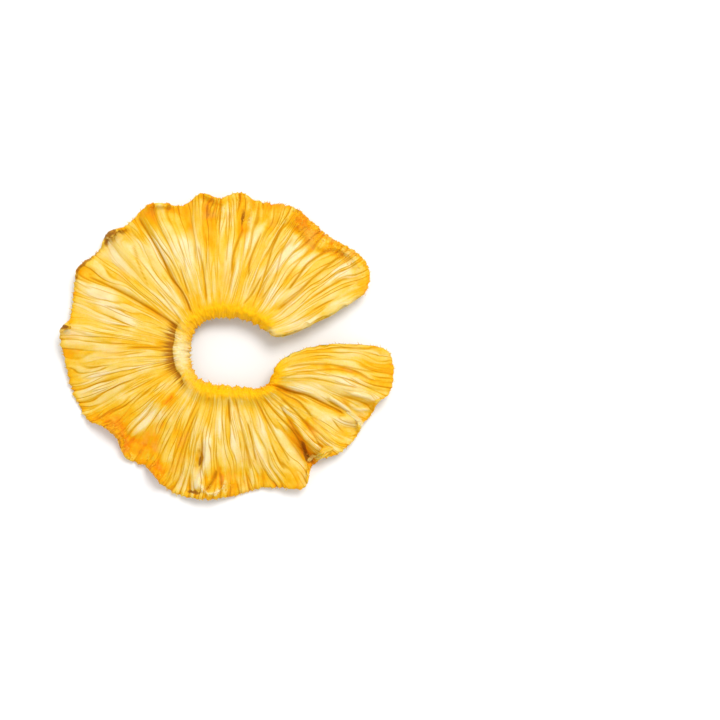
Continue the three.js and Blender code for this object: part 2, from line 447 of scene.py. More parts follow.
# %% Grids
UPPER_TURNS = 1440
UPPER_STEPS = 52
LOWER_TURNS = 720
LOWER_STEPS = 26
UPPER_SPACING = [[0, 0], [0.24, 0.15], [0.78, 0.86], [1, 1]]  # closer at the collar and the rim
LOWER_SPACING = [[0, 0], [0.5, 0.8], [1, 1]]


def grid(turns, steps, spacing):
    turn = np.linspace(UPPER_LIP, LOWER_LIP, turns + 1)
    out = through(spacing, np.linspace(0, 1, steps + 1))
    return np.meshgrid(turn, np.clip(out, 0, 1), indexing="ij")


def in_space(flat, up):
    """Vectors from their part in plan and their upward part."""
    return np.concatenate([flat, np.broadcast_to(up, flat.shape[:-1])[..., None]], -1)


def skin(turn, out, face):
    """Points of the upper (face 1) or lower (face -1) skin in mm, and the ways out, aside and off."""
    plan, way, side = plan_at(turn, out)
    middle = arch_height(turn, out) - crease_depth(turn, out)
    rolled = np.maximum(through(RIM_CURL, turn), 0)
    hole = through(HOLE, through(FIBRE_START, turn))
    length = through(RIM, turn) - hole
    thin = smoothstep(out, *CURL_THINS_FROM) * np.clip(rolled / CURL_THINS_AT, 0, 1)
    half = through(THICKNESS, out) / 2 * edge_share(turn, out) * (1 - CURL_THINS * thin)
    low = np.maximum(middle - half, 0)
    high = np.maximum(middle + half, low + LEAST_THICKNESS)
    bent = CURL_LEAST + (CURL_MOST - CURL_LEAST) * np.clip(rolled / CURL_MOST_AT, 0, 1)
    ahead, up, steep = curl((1 - out) * length, bent, np.radians(rolled))
    lip_angle = np.radians(np.maximum(through(LIP_CURL, out), 0))
    to_lip = np.radians(turn - UPPER_LIP) * (hole + length * out)
    aside, lip_up, lip_steep = curl(to_lip, LIP_LENGTH, lip_angle)
    corner_ahead, corner_aside = corner_shift(turn, out, hole, length)
    centre = plan + way * (ahead + corner_ahead)[..., None] + side * (corner_aside - aside)[..., None]
    centre = in_space(centre, (low + high) / 2 + up + lip_up)
    run = in_space(way * np.cos(steep)[..., None], np.sin(steep))
    off = side * np.sin(lip_steep)[..., None] - way * np.sin(steep)[..., None]
    off = unit(in_space(off, np.cos(steep) * np.cos(lip_steep)))
    return centre + off * ((high - low) / 2 * face)[..., None], run, in_space(side, 0.0), off


upper_turn, upper_out = grid(UPPER_TURNS, UPPER_STEPS, UPPER_SPACING)
lower_turn, lower_out = grid(LOWER_TURNS, LOWER_STEPS, LOWER_SPACING)
upper_skin = skin(upper_turn, upper_out, 1)
lower_skin = skin(lower_turn, lower_out, -1)
print("points of the upper and the lower skin:", upper_turn.size, lower_turn.size)


# %% Faces between rows
def zipped(first, second):
    """Triangles between two rows of points that run side by side but differ in number."""
    faces = []
    i = j = 0
    while i < len(first) - 1 or j < len(second) - 1:
        ahead = (i + 1) / (len(first) - 1) <= (j + 1) / (len(second) - 1)
        if j == len(second) - 1 or (ahead and i < len(first) - 1):
            faces.append((first[i], first[i + 1], second[j]))
            i += 1
        else:
            faces.append((first[i], second[j + 1], second[j]))
            j += 1
    return faces


def grid_faces(ids, flip):
    corners = [ids[:-1, :-1], ids[:-1, 1:], ids[1:, 1:], ids[1:, :-1]]
    if flip:
        corners.reverse()
    return np.stack([c.ravel() for c in corners], -1).tolist()


# %% Sew the skins
upper_ids = np.arange(upper_turn.size).reshape(upper_turn.shape)
lower_ids = np.arange(lower_turn.size).reshape(lower_turn.shape) + upper_turn.size
faces = grid_faces(upper_ids, False) + grid_faces(lower_ids, True)
for upper_edge, lower_edge in (
    (upper_ids[:, 0], lower_ids[:, 0]),
    (upper_ids[::-1, -1], lower_ids[::-1, -1]),
    (upper_ids[0, ::-1], lower_ids[0, ::-1]),
    (upper_ids[-1, :], lower_ids[-1, :]),
):
    faces += zipped(upper_edge.tolist(), lower_edge.tolist())


def both(upper, lower):
    return np.concatenate([upper.reshape(upper_turn.size, -1), lower.reshape(lower_turn.size, -1)])


points = both(upper_skin[0], lower_skin[0])
to_frame = np.array([*((ring_low + ring_high) / 2 / MM)[:2], 0])
to_frame[:2] -= (points[:, :2].max(0) + points[:, :2].min(0)) / 2
sheet = bpy.data.meshes.new("ring.flesh")
sheet.from_pydata(((points + to_frame) * MM).tolist(), [], faces)
sheet.polygons.foreach_set("use_smooth", np.ones(len(sheet.polygons), bool))
print("hole centre in the frame, mm:", np.round(to_frame, 2), "faces:", len(sheet.polygons))


# %% Name every point
def store(mesh, name, values):
    """Keeps one number or one vector for each point of a mesh."""
    kind = "FLOAT" if values.ndim == 1 else "FLOAT_VECTOR"
    field = "value" if values.ndim == 1 else "vector"
    mesh.attributes.new(name, kind, "POINT").data.foreach_set(field, values.astype(np.float32).ravel())


turn = both(upper_turn, lower_turn)[:, 0]
out = both(upper_out, lower_out)[:, 0]
run, side, off = (both(upper_skin[k], lower_skin[k]) for k in (1, 2, 3))
upper = np.concatenate([np.ones(upper_turn.size), np.zeros(lower_turn.size)])
known = {"turn": turn, "out": out, "upper": upper, "run": run, "side": side, "off": off}
for name, values in known.items():
    store(sheet, name, values)
ring = add_object("ring.flesh", sheet)
print("each point knows its:", ", ".join(known))

# %% [markdown]
# ## The pattern of pleats
# Drying flesh shrinks between its fibres, so thin dark creases part rounded ridges that wander,
# fork and end. Slow noise does just that when it is stretched along the fibres: the line where it
# crosses its middle value is a crease, and the flesh swells on both sides of it. Two such waves,
# one wide and one narrow, lie over each other, and other noise pushes both about. Every pattern is
# a row of one table, which the mesh and the material both read, so the material paints shade into
# the creases where the mesh makes them deep.

# %% Patterns that follow the fibres
WIDE_PLEATS = 58  # to the full turn
NARROW_PLEATS = 170
PATTERNS = {  # cells to a degree of turn and from hole to rim, shifts of both, and detail
    "stray": (0.06, 1.5, 0, 0, 0),
    "shiver": (0.3, 4.5, 0, 0, 0),
    "swirl": (0.13, 3.0, 40, 0, 0),
    "wide": (WIDE_PLEATS / FULL_TURN, 1.15, 0, 0, 0),
    "narrow": (NARROW_PLEATS / FULL_TURN, 2.3, 0, 20, 0),
    "wide crispness": (0.10, 2.4, 9, 0, 1),
    "narrow crispness": (0.14, 2.8, 77, 0, 1),
    "lump": (0.18, 3.5, 0, 0, 2),
    "fibre": (3.1, 6.0, 0, 0, 1),
    "frill": (0.7, 0, 0, 7, 3),
    "tooth": (0.17, 0, 0, 53, 4),
    "lean": (0.05, 0, 0, 11, 0),
    "fray": (0.02, 14.0, 0, 0, 3),
    "streak": (0.9, 3.2, 0, 0, 4),
    "fine": (4.5, 9.0, 0, 0, 2),
    "cloud": (0.085, 2.8, 0, 0, 3),
}
CROSSWISE = ("fray",)  # the way out comes first in it
SPECKLES = {  # the same in every direction: cells to the metre, and detail
    "knob": (480, 3), "grain": (1900, 1), "mottle": (420, 4), "clump": (900, 2), "speck": (2400, 2),
    "tinge": (190, 3),
}


def pattern(board, name, turn, out):
    """A noise from 0 to 1, stretched along the fibres as its row of the table says."""
    by_turn, by_out, shift_turn, shift_out, detail = PATTERNS[name]
    place = []
    for number, cells, shift in ((turn, by_turn, shift_turn), (out, by_out, shift_out)):
        number = number * cells if cells else 0
        place.append(number + shift if shift else number)
    if name in CROSSWISE:
        place.reverse()
    return board.noise(board.vector(*place), detail=detail)


def swing(board, name, turn, out):
    """The same from -0.5 to 0.5, and 0 in the middle."""
    return pattern(board, name, turn, out) - 0.5


def speckle(board, name, place):
    """A noise in space from -0.5 to 0.5."""
    return board.noise(place, *SPECKLES[name], flat=False) - 0.5


print("patterns:", len(PATTERNS) + len(SPECKLES))

# %% Pleats for mesh and material alike
BEND = 6.5  # degrees that a pleat may stray
SHIVER = 1.7
RIM_SWIRL = 3.5
SWIRL_GROWS = (0.55, 1.0)  # share of the way out
FULL_RISE = 2.2
HOLE_RADIUS = 10  # mm
FLESH_WIDTH = 31
SLOPE_STEP = 0.15  # degrees
LEAST_SLOPE = 0.1  # this and the next two are shares of the usual slope
FLAT_WAVE = 0.2
STEEP_WAVE = 0.8
CREASE_CORE = 0.2  # the share of a crease that is darkest
CRISPNESS = {  # where each pattern turns smooth flesh crisp, the least it gives, and what calm takes
    "wide": (0.3, 0.7, 0.0, 0.7), "narrow": (0.3, 0.65, 0.25, 0.6),
}


def bent_turn(board, turn, out):
    """The turn of a fibre that strays from its straight way, so that pleats bend and meet."""
    bent = turn + swing(board, "stray", turn, out) * BEND + swing(board, "shiver", turn, out) * SHIVER
    return bent + swing(board, "swirl", turn, out) * RIM_SWIRL * board.ramp(out, *SWIRL_GROWS)


def wave(board, name, bent, out):
    """A wide or a narrow pleat: 0 in its crease, and above or below it on either side."""
    return swing(board, name, bent, out) * FULL_RISE


def crease_line(board, name, bent, out, half_width, steep):
    """1 on the line where a wave crosses 0, equally thin everywhere, and 0 where the wave is flat."""
    rise = wave(board, name, bent + SLOPE_STEP, out) - wave(board, name, bent - SLOPE_STEP, out)
    slope = abs(rise) / (2 * SLOPE_STEP)
    off = abs(wave(board, name, bent, out)) / (slope + steep * LEAST_SLOPE)
    off = off * (out * FLESH_WIDTH + HOLE_RADIUS) * math.radians(1)
    line = 1 - board.ramp(off, half_width * CREASE_CORE, half_width)
    return line * board.ramp(slope, steep * FLAT_WAVE, steep * STEEP_WAVE)


def crispness(board, name, turn, out, calm):
    """How deep the wide or the narrow pleats are here: 0 where the flesh stayed smooth."""
    low, high, least, calmed = CRISPNESS[name]
    crisp = board.ramp(pattern(board, name + " crispness", turn, out), low, high)
    if least:
        crisp = crisp * (1 - least) + least
    return crisp * (1 - calm * calmed)


def dome(board, distance, reach):
    """A rounded back: 0 in the crease, rising steeply and level from the reach on."""
    left = 1 - (distance / reach).least(1.0)
    return 1 - left * left


print("width of a wide and a narrow pleat at the rim, mm:",
      [round(math.tau * (HOLE_RADIUS + FLESH_WIDTH) / n, 1) for n in (WIDE_PLEATS, NARROW_PLEATS)])


# %% [markdown]
# ## Gather the sheet
# On the real slice the pleats are the flesh itself, so they are moved points and not only shade.
# Geometry Nodes suit this: a group reads what each point knows, works out how far it goes off the
# sheet, outwards and aside, and moves it. Its sizes are named inputs, and the result becomes a
# plain mesh before anything else is made from it.


# %% Groups with named sizes
def group_with(name, sizes):
    """A Geometry Nodes group with a geometry, these sizes and a material as its named inputs."""
    group = bpy.data.node_groups.new(name, "GeometryNodeTree")
    inputs = {"Geometry": "Geometry"} | dict.fromkeys(sizes, "Float") | {"Material": "Material"}
    for size, kind in inputs.items():
        group.interface.new_socket(size, in_out="INPUT", socket_type="NodeSocket" + kind)
    group.interface.new_socket("Geometry", in_out="OUTPUT", socket_type="NodeSocketGeometry")
    source = group.nodes.new("NodeGroupInput")
    board = Board(group)
    return board, {s.name: Wire(board, s) for s in source.outputs if s.name}


def named(board, name, kind="FLOAT"):
    return board.add("GeometryNodeInputNamedAttribute", {"data_type": kind}, {"Name": name})


def hand_over(board, geometry, material):
    """Ends a group: its geometry as real faces of this material."""
    geometry = board.add("GeometryNodeRealizeInstances", None, {"Geometry": geometry})
    geometry = board.add("GeometryNodeSetMaterial", None, {"Geometry": geometry, "Material": material})
    board.feed(board.tree.nodes.new("NodeGroupOutput").inputs[0], geometry)
    return board.tree


def kept_above(board, geometry, place, least):
    """Moves points to a place, but none of them lower than the least height."""
    floor = board.vector(-1.0, -1.0, least)
    place = board.add("ShaderNodeVectorMath", {"operation": "MAXIMUM"}, {0: place, 1: floor})
    return board.add("GeometryNodeSetPosition", None, {"Geometry": geometry, "Position": place})


# %% Make a plain mesh of a modifier's result
def settle(carrier, group, sizes, name):
    """Runs a group over an object with these sizes, and gives the result as a plain mesh."""
    modifier = carrier.modifiers.new(group.name, "NODES")
    modifier.node_group = group
    for socket in group.interface.items_tree:
        if socket.in_out == "INPUT" and socket.name in sizes:
            modifier[socket.identifier] = sizes[socket.name]
    graph = bpy.context.evaluated_depsgraph_get()
    shaped = carrier.evaluated_get(graph)
    mesh = bpy.data.meshes.new_from_object(shaped, preserve_all_data_layers=True, depsgraph=graph)
    mesh.name = name
    carrier.modifiers.remove(modifier)
    return mesh


# %% What the gathering reads
GROWS = {  # the share of the way out where each begins, and where it is whole
    "spread": (0.02, 0.75), "collar": (0.17, 0.1), "frill": (0.86, 1.0), "tooth": (0.09, 0.0),
    "fray": (1.0, 0.85),
}
COLLAR_FADES = (27.0, 36.0)  # the turns between which the collar ends before the upper lip
BACKS = {"wide": 0.35, "narrow": 0.3}  # how high a wave rises before its back is level


def gathering(board):
    """The pleats and fades that move a point, by name, with what the point knows of itself."""
    p = {name: named(board, name) for name in ("turn", "out", "upper", "calm", "fold", "grainy")}
    p |= {name: named(board, name, "FLOAT_VECTOR") for name in ("run", "side", "off")}
    p["place"] = board.add("GeometryNodeInputPosition")
    bent = bent_turn(board, p["turn"], p["out"])
    for name, reach in BACKS.items():
        p[name] = dome(board, abs(wave(board, name, bent, p["out"])), reach)
        p[name + " crisp"] = crispness(board, name, p["turn"], p["out"], p["calm"])
    for name, ends in GROWS.items():
        p[name] = board.ramp(p["out"], *ends)
    p["collar"] *= board.ramp(p["turn"], *COLLAR_FADES)
    return p


print("fades along the way out:", len(GROWS))

# %% How far a point moves off the sheet, outwards and aside
LEAST_SPREAD = 0.15  # of the full depth, at the hole
BACK_LEVEL = 0.7  # the share of a back's height that lies below the sheet
WIDE_CRISP = (1.2, 0.15)  # how much deeper crisp wide pleats are, and what smooth ones keep
FRILL_LEVEL = 0.15
SCALLOPS = {"wide": 0.3, "narrow": 0.18}
LIP_FRAYS = (3.0, 0.0)  # degrees from a lip


def off_the_sheet(board, p, size):
    """The height of the pleats, lumps, fibres, folds and grains."""
    grown = p["spread"] * (1 - LEAST_SPREAD) + LEAST_SPREAD
    crisp = p["wide crisp"] * WIDE_CRISP[0] + WIDE_CRISP[1]
    height = (p["wide"] - BACK_LEVEL) * size["Wide depth"] * grown * crisp
    height = height + (p["narrow"] - BACK_LEVEL) * size["Narrow depth"] * grown * p["narrow crisp"]
    height = height + swing(board, "lump", p["turn"], p["out"]) * size["Lump"] * p["spread"]
    fibre = swing(board, "fibre", p["turn"], p["out"]) * size["Fibre depth"] * (1 - p["collar"])
    height = height + (fibre + p["fold"]) * p["upper"]
    height = height + speckle(board, "knob", p["place"]) * size["Clump"] * p["collar"] * p["upper"]
    return height + speckle(board, "grain", p["place"]) * size["Grain"] * (p["collar"] + p["grainy"])


def outwards(board, p, size):
    """The frill of the rim, scalloped by the pleats, and the ragged edge of the hole."""
    frill = pattern(board, "frill", p["turn"], p["out"]) - FRILL_LEVEL
    for name, depth in SCALLOPS.items():
        frill = frill + (p[name] - 0.5) * depth
    tooth = swing(board, "tooth", p["turn"], p["out"]) * size["Tooth"] * p["tooth"]
    return frill * size["Frill"] * p["frill"] + tooth


def aside(board, p, size):
    """Pleats that lean over, and the frayed lips of the tear."""
    lean = swing(board, "lean", p["turn"], p["out"]) * 2 * size["Lean"]
    from_lip = (p["turn"] - UPPER_LIP).least(LOWER_LIP - p["turn"])
    fray = swing(board, "fray", p["turn"], p["out"]) * size["Fray"]
    return (p["wide"] - 0.5) * lean * p["spread"] + fray * board.ramp(from_lip, *LIP_FRAYS) * p["fray"]


print("scallops, share of the frill:", SCALLOPS)

# %% Gather the flesh into pleats
PLEAT_INPUTS = (
    "Wide depth", "Narrow depth", "Fibre depth", "Lump", "Lean", "Frill", "Fray", "Tooth", "Clump",
    "Grain", "Least",
)


def pleats_group():
    board, size = group_with("Gather into pleats", PLEAT_INPUTS)
    p = gathering(board)
    moved = board.scaled(p["run"], outwards(board, p, size))
    moved = board.joined(moved, board.scaled(p["side"], aside(board, p, size)))
    moved = board.joined(moved, board.scaled(p["off"], off_the_sheet(board, p, size)))
    moved = board.joined(moved, p["place"])
    gathered = kept_above(board, size["Geometry"], moved, p["upper"] * size["Least"])
    return hand_over(board, gathered, size["Material"])


pleats = pleats_group()
print("nodes that gather the flesh:", len(pleats.nodes))

# %% [markdown]
# ## Where the colours lie
# The backs of the pleats are painted paler and the hollows between them a clear yellow, as
# painted light and shade, and the creases get thin brown painted shade. Juice gathered at the rim
# and in a few folds, where the flesh is amber or browned; elsewhere air got in and left it almost
# white. Some brown patches and crease streaks are painted shadow and shade: beside the raised pale
# folds, under the scraps, in the deepest creases and in a pit. Such places are soft round patches,
# given by turn and share of the way out, and streaks that follow a few stations. A streak also
# lifts or sinks the flesh, so that the strongest folds can be placed one by one.

# %% Patches
# turn, share of the way out, half widths of both, strength
AMBER = [
    (50, 0.94, 9, 0.06, 1.0), (62, 0.93, 5, 0.06, 0.9), (72, 0.83, 4.5, 0.13, 1.2),
    (69.5, 0.7, 1.5, 0.1, 0.7), (97, 0.9, 4.5, 0.13, 1.0), (98.5, 0.7, 1.7, 0.17, 0.8),
    (118, 0.94, 3, 0.05, 1.0), (111, 0.96, 5, 0.04, 0.7), (89, 0.97, 6, 0.05, 0.5),
    (216, 0.88, 9, 0.13, 1.25), (213, 0.94, 6, 0.07, 0.9), (238, 0.93, 3, 0.08, 0.8),
    (209, 0.76, 3, 0.17, 0.9), (228, 0.8, 5, 0.2, 0.75), (231, 0.62, 2.5, 0.17, 0.6),
    (240, 0.9, 3.2, 0.1, 1.3), (226, 0.35, 2.6, 0.055, 1.5), (266.5, 0.8, 2.8, 0.06, 1.0),
    (260, 0.4, 1.4, 0.05, 0.6), (305, 0.92, 3.4, 0.11, 1.4), (308, 0.75, 2, 0.17, 1.0),
    (317, 0.66, 1.5, 0.07, 0.8), (323.5, 0.6, 1.3, 0.03, 0.7), (350.5, 0.66, 1.2, 0.15, 0.8),
    (29, 0.82, 2, 0.07, 0.8), (158, 0.52, 1.4, 0.04, 0.9), (180.5, 0.85, 1.5, 0.12, 0.5),
    (255.3, 0.67, 1.3, 0.09, 1.1), (268, 0.84, 3, 0.08, 0.7), (84.2, 0.79, 1.8, 0.1, 1.5),
    (238, 0.85, 2.5, 0.1, 0.5),
]
GOLD = [
    (26, 0.55, 2.5, 0.09, 1.0), (108, 0.85, 3, 0.1, 0.8), (116, 0.65, 1.5, 0.15, 0.7),
    (147, 0.88, 3, 0.1, 0.6), (161, 0.82, 3, 0.04, 0.5), (173, 0.65, 2, 0.1, 0.6),
    (176, 0.45, 3, 0.08, 0.6), (217, 0.42, 4, 0.09, 0.9), (232, 0.7, 4, 0.25, 0.9),
    (243, 0.55, 4, 0.2, 0.5), (276, 0.82, 5, 0.2, 0.55), (283, 0.7, 4, 0.25, 0.3),
    (293, 0.9, 6, 0.1, 0.6), (325, 0.92, 5, 0.1, 0.6), (337, 0.65, 2, 0.08, 0.7),
    (352, 0.94, 8, 0.08, 0.4), (300, 0.65, 1.5, 0.08, 0.5), (199, 0.35, 3, 0.1, 0.5),
    (139, 0.53, 1.5, 0.05, 0.5), (182, 0.9, 5, 0.15, 0.6), (35, 0.62, 4, 0.15, 0.4),
    (165, 0.38, 6, 0.06, 0.5), (80, 0.9, 4, 0.06, 0.8), (205, 0.97, 6, 0.04, 0.6),
    (120, 0.9, 2, 0.08, 0.5), (235, 0.3, 3, 0.1, 0.4), (190, 0.22, 22, 0.07, 0.8),
    (65, 0.97, 25, 0.06, 0.5), (100, 0.96, 24, 0.05, 0.6), (130, 0.16, 15, 0.04, 0.5),
    (257, 0.13, 4, 0.05, 0.5),
]
# Brown spots. Some are painted shadow and shade: beside the pale fold at the bottom (256, 0.955), in the
# deep crease at 256.9, in the pit at 84 and under the scraps at 306.5.
BROWN = [
    (306.5, 0.91, 1.7, 0.06, 1.1), (84.0, 0.81, 1.0, 0.07, 0.95), (98, 0.84, 1.2, 0.1, 0.5),
    (256.9, 0.69, 0.8, 0.065, 1.0), (225.3, 0.33, 1.3, 0.035, 0.45), (135, 0.965, 4.5, 0.05, 1.2),
    (150, 1.0, 7, 0.02, 0.8), (171.5, 0.96, 1.2, 0.045, 1.4), (220, 0.97, 6, 0.03, 0.5),
    (256, 0.955, 3, 0.022, 1.2), (61, 0.18, 1.2, 0.03, 0.4), (256, 0.15, 1.5, 0.04, 0.4),
    (65, 0.99, 2, 0.03, 0.6),
]
WHITE = [
    (57, 0.7, 4.2, 0.12, 1.0), (37, 0.78, 3, 0.03, 0.7), (43, 0.93, 2.5, 0.04, 0.4),
    (110, 0.66, 2, 0.1, 0.9), (155.5, 0.73, 3.2, 0.1, 1.1), (161.5, 0.52, 2, 0.08, 0.7),
    (170, 0.8, 4.5, 0.12, 1.1), (160, 0.82, 6, 0.14, 0.7), (191, 0.8, 2, 0.1, 0.6),
    (221.5, 0.61, 3.8, 0.12, 1.3), (227, 0.5, 1.8, 0.06, 1.4), (260.5, 0.62, 1.5, 0.15, 0.9),
    (42, 0.6, 8, 0.25, 0.45), (47, 0.72, 4, 0.12, 0.7), (338, 0.5, 8, 0.2, 0.3),
    (25, 0.35, 2.5, 0.3, 0.7), (346.5, 0.57, 1.5, 0.1, 0.7), (331.5, 0.95, 1.2, 0.05, 0.9),
    (342, 0.91, 1.2, 0.05, 0.9), (27, 0.25, 2, 0.08, 0.8), (26.5, 0.05, 5.5, 0.09, 0.8),
    (137, 0.72, 8, 0.22, 0.7), (114, 0.55, 10, 0.25, 0.45), (286, 0.55, 8, 0.25, 0.6),
    (30, 0.22, 5, 0.14, 0.5), (28, 0.45, 4, 0.12, 0.4), (163, 0.93, 5, 0.07, 0.5),
    (50, 0.3, 6, 0.1, 0.5), (336, 0.25, 4, 0.12, 0.6), (292, 0.35, 5, 0.2, 0.4),
    (269, 0.3, 3, 0.1, 0.5), (184, 0.06, 40, 0.1, 1.5), (90, 0.6, 3, 0.25, 0.35),
    (250, 0.6, 3, 0.3, 0.3), (88, 0.6, 14, 0.25, 0.25), (81.4, 0.835, 1.0, 0.04, 1.5),
    (55, 0.45, 14, 0.25, 0.25), (115, 0.55, 30, 0.3, 0.2),
]
CALM = [  # where the flesh dried smooth, with hardly a pleat
    (163, 0.82, 7, 0.16, 1.1), (135, 0.75, 7, 0.22, 1.0), (112, 0.6, 8, 0.24, 0.7),
    (50, 0.6, 6, 0.2, 0.5), (217, 0.66, 5, 0.12, 0.6), (318, 0.6, 4, 0.15, 0.4),
    (340, 0.5, 9, 0.25, 0.5), (285, 0.5, 6, 0.2, 0.4),
]
MOST_TINT = 1.5


def patches(spots, turn, out):
    total = np.zeros_like(turn)
    for at, share, half_turn, half_out, strength in spots:
        total += strength * bell(turn, at, half_turn) * bell(out, share, half_out)
    return np.minimum(total, MOST_TINT)


tints = {"amber": patches(AMBER, turn, out), "gold": patches(GOLD, turn, out)}
tints |= {"brown": patches(BROWN, turn, out), "white": patches(WHITE, turn, out)}
tints |= {"crease": np.zeros_like(turn), "calm": np.minimum(patches(CALM, turn, out), 1)}
print("patches:", sum(len(spots) for spots in (AMBER, GOLD, BROWN, WHITE, CALM)))

# %% Streaks
# kind, strength, half width and depth in mm, then the share of the way out and turn of its stations
# Crease streaks paint shade along the creases they sink, and those beside the raised white folds paint the
# shadow that those folds cast; the brown streak paints shade in the deep crease at 307.
STREAKS = [
    ("crease", 0.9, 0.26, 0.36,
     [(0.12, 123.5), (0.22, 122), (0.3, 122.3), (0.45, 124.5), (0.6, 123.5), (0.97, 124)]),
    ("crease", 0.75, 0.28, 0.34, [(0.16, 147.5), (0.45, 149), (0.65, 150), (0.88, 151.5)]),
    ("crease", 0.6, 0.22, 0.3, [(0.25, 118), (0.35, 117.2), (0.47, 116.3)]),
    ("crease", 0.45, 0.19, 0.24, [(0.5, 138.5), (0.65, 134), (0.8, 131.5)]),
    ("crease", 0.7, 0.25, 0.3, [(0.22, 176.3), (0.35, 177), (0.47, 177.8)]),
    ("crease", 0.6, 0.25, 0.3, [(0.55, 157.8), (0.65, 158.4), (0.73, 159)]),
    ("crease", 0.6, 0.25, 0.3, [(0.16, 104.5), (0.3, 103), (0.45, 103.2), (0.6, 104.2)]),
    ("crease", 0.75, 0.28, 0.36, [(0.36, 84.8), (0.5, 85.3), (0.62, 84.2), (0.74, 83)]),
    ("crease", 0.7, 0.25, 0.3, [(0.36, 73.5), (0.45, 75.6), (0.55, 75.8), (0.74, 74.8)]),
    ("crease", 0.65, 0.25, 0.3, [(0.36, 64.5), (0.5, 66), (0.65, 67.4), (0.9, 67)]),
    ("crease", 0.55, 0.25, 0.24, [(0.42, 57.5), (0.55, 60.5), (0.65, 62.2), (0.78, 61)]),
    ("crease", 0.8, 0.31, 0.42, [(0.42, 46.5), (0.55, 47.6), (0.7, 48.6), (0.88, 46.8)]),
    ("crease", 0.6, 0.28, 0.3, [(0.22, 42), (0.4, 41.2), (0.6, 42), (0.92, 41.5)]),
    ("crease", 0.45, 0.22, 0.18, [(0.45, 52), (0.82, 52.3)]),
    ("crease", 0.6, 0.22, 0.24, [(0.22, 58.5), (0.42, 57.3)]),
    ("crease", 0.6, 0.22, 0.24, [(0.22, 63.5), (0.42, 62.5)]),
    ("crease", 0.7, 0.22, 0.3, [(0.12, 70.5), (0.25, 67), (0.38, 66.3)]),
    ("crease", 0.7, 0.19, 0.3, [(0.7, 93.6), (1.0, 93.4)]),
    ("crease", 0.4, 0.19, 0.18, [(0.45, 88.7), (0.85, 89.2)]),
    ("crease", 0.45, 0.22, 0.24, [(0.15, 139.5), (0.28, 137), (0.42, 136.2)]),
    ("crease", 0.6, 0.19, 0.24, [(0.2, 246), (0.5, 244.6), (0.92, 244.2)]),
    ("crease", 0.6, 0.19, 0.24, [(0.25, 249), (0.5, 247.2), (0.92, 246.8)]),
    ("crease", 0.5, 0.19, 0.18, [(0.3, 250), (0.6, 248.8), (0.92, 249.2)]),
    ("crease", 0.9, 0.4, 0.45, [(0.594, 255.5), (0.644, 258), (0.719, 257.5)]),
    ("crease", 0.9, 0.5, 0.9, [(0.76, 265.4), (0.84, 264), (0.9, 262.2), (0.94, 260.5)]),
    ("white", 0.9, 1.0, -1.0,
     [(0.48, 260.4), (0.58, 260.2), (0.68, 260), (0.76, 259.2), (0.84, 257.6), (0.92, 256.5)]),
    ("crease", 0.9, 0.25, 0.36, [(0.13, 275.2), (0.25, 274.5), (0.36, 274.6)]),
    ("crease", 0.55, 0.25, 0.3, [(0.13, 281.5), (0.45, 281.5), (0.82, 281)]),
    ("crease", 0.65, 0.25, 0.3, [(0.36, 286.5), (0.55, 285.8), (0.75, 284.6)]),
    ("crease", 0.5, 0.22, 0.24, [(0.13, 298.5), (0.4, 298.6), (0.75, 299.2)]),
    ("crease", 0.7, 0.28, 0.36, [(0.16, 307.3), (0.35, 308), (0.6, 309), (0.92, 307)]),
    ("crease", 0.7, 0.25, 0.3, [(0.27, 316.5), (0.4, 313.3), (0.64, 310)]),
    ("crease", 0.7, 0.28, 0.36, [(0.22, 322.5), (0.4, 320.6), (0.68, 317), (0.88, 314)]),
    ("crease", 0.8, 0.32, 0.6, [(0.06, 333.4), (0.23, 331.6), (0.4, 333), (0.56, 332.3), (0.7, 331.8)]),
    ("crease", 0.7, 0.28, 0.4, [(0.07, 330.5), (0.22, 327.5), (0.36, 327.3), (0.57, 323.5)]),
    ("crease", 0.5, 0.22, 0.24, [(0.11, 341.5), (0.22, 347), (0.36, 348.5), (0.54, 350.2), (0.7, 349.8)]),
    ("crease", 0.5, 0.22, 0.24, [(0.3, 343.5), (0.48, 343.8), (0.61, 343.5), (0.74, 344)]),
    ("white", 0.9, 0.45, -0.9, [(0.62, 336.2), (0.76, 335), (0.85, 334), (0.96, 331.6)]),
    ("crease", 0.6, 0.3, 0.5, [(0.6, 334.6), (0.75, 333.4), (0.85, 332.3), (0.93, 330.2)]),
    ("white", 0.9, 0.45, -0.8, [(0.69, 340.8), (0.8, 341), (0.93, 340.8)]),
    ("white", 1.1, 0.55, -0.7, [(0.8, 336.6), (0.88, 336.2), (0.97, 337.6)]),
    ("crease", 0.5, 0.25, 0.3, [(0.7, 339), (0.85, 339.1), (0.94, 338.9)]),
    ("crease", 0.5, 0.22, 0.24, [(0.15, 353), (0.5, 352), (0.85, 351.5)]),
    ("white", 1.3, 0.8, -0.6, [(0.3, 318.4), (0.48, 315), (0.68, 312)]),
    ("white", 1.6, 0.6, -1.0, [(0.88, 258), (0.945, 261.2), (0.96, 264.3), (0.935, 267), (0.87, 269)]),
    ("amber", 2.5, 0.8, 0.3, [(0.28, 225.2), (0.34, 225.6), (0.4, 225.0)]),
    ("amber", 1.9, 1.0, 0.5, [(0.35, 317.3), (0.58, 311.4), (0.78, 308.4), (0.94, 306.4)]),
    ("brown", 0.85, 0.6, 0.2, [(0.7, 309.6), (0.8, 308.4), (0.93, 306.8)]),
    ("amber", 1.1, 0.8, 0.3, [(0.53, 320.4), (0.64, 317.4), (0.79, 313.8)]),
]
STREAK_FADE = 0.04  # share of the way out
AROUND_FADE = 1.5  # degrees, for a streak that runs around the ring
AROUND_WIDTH = 30  # mm from the hole to the rim, for the same


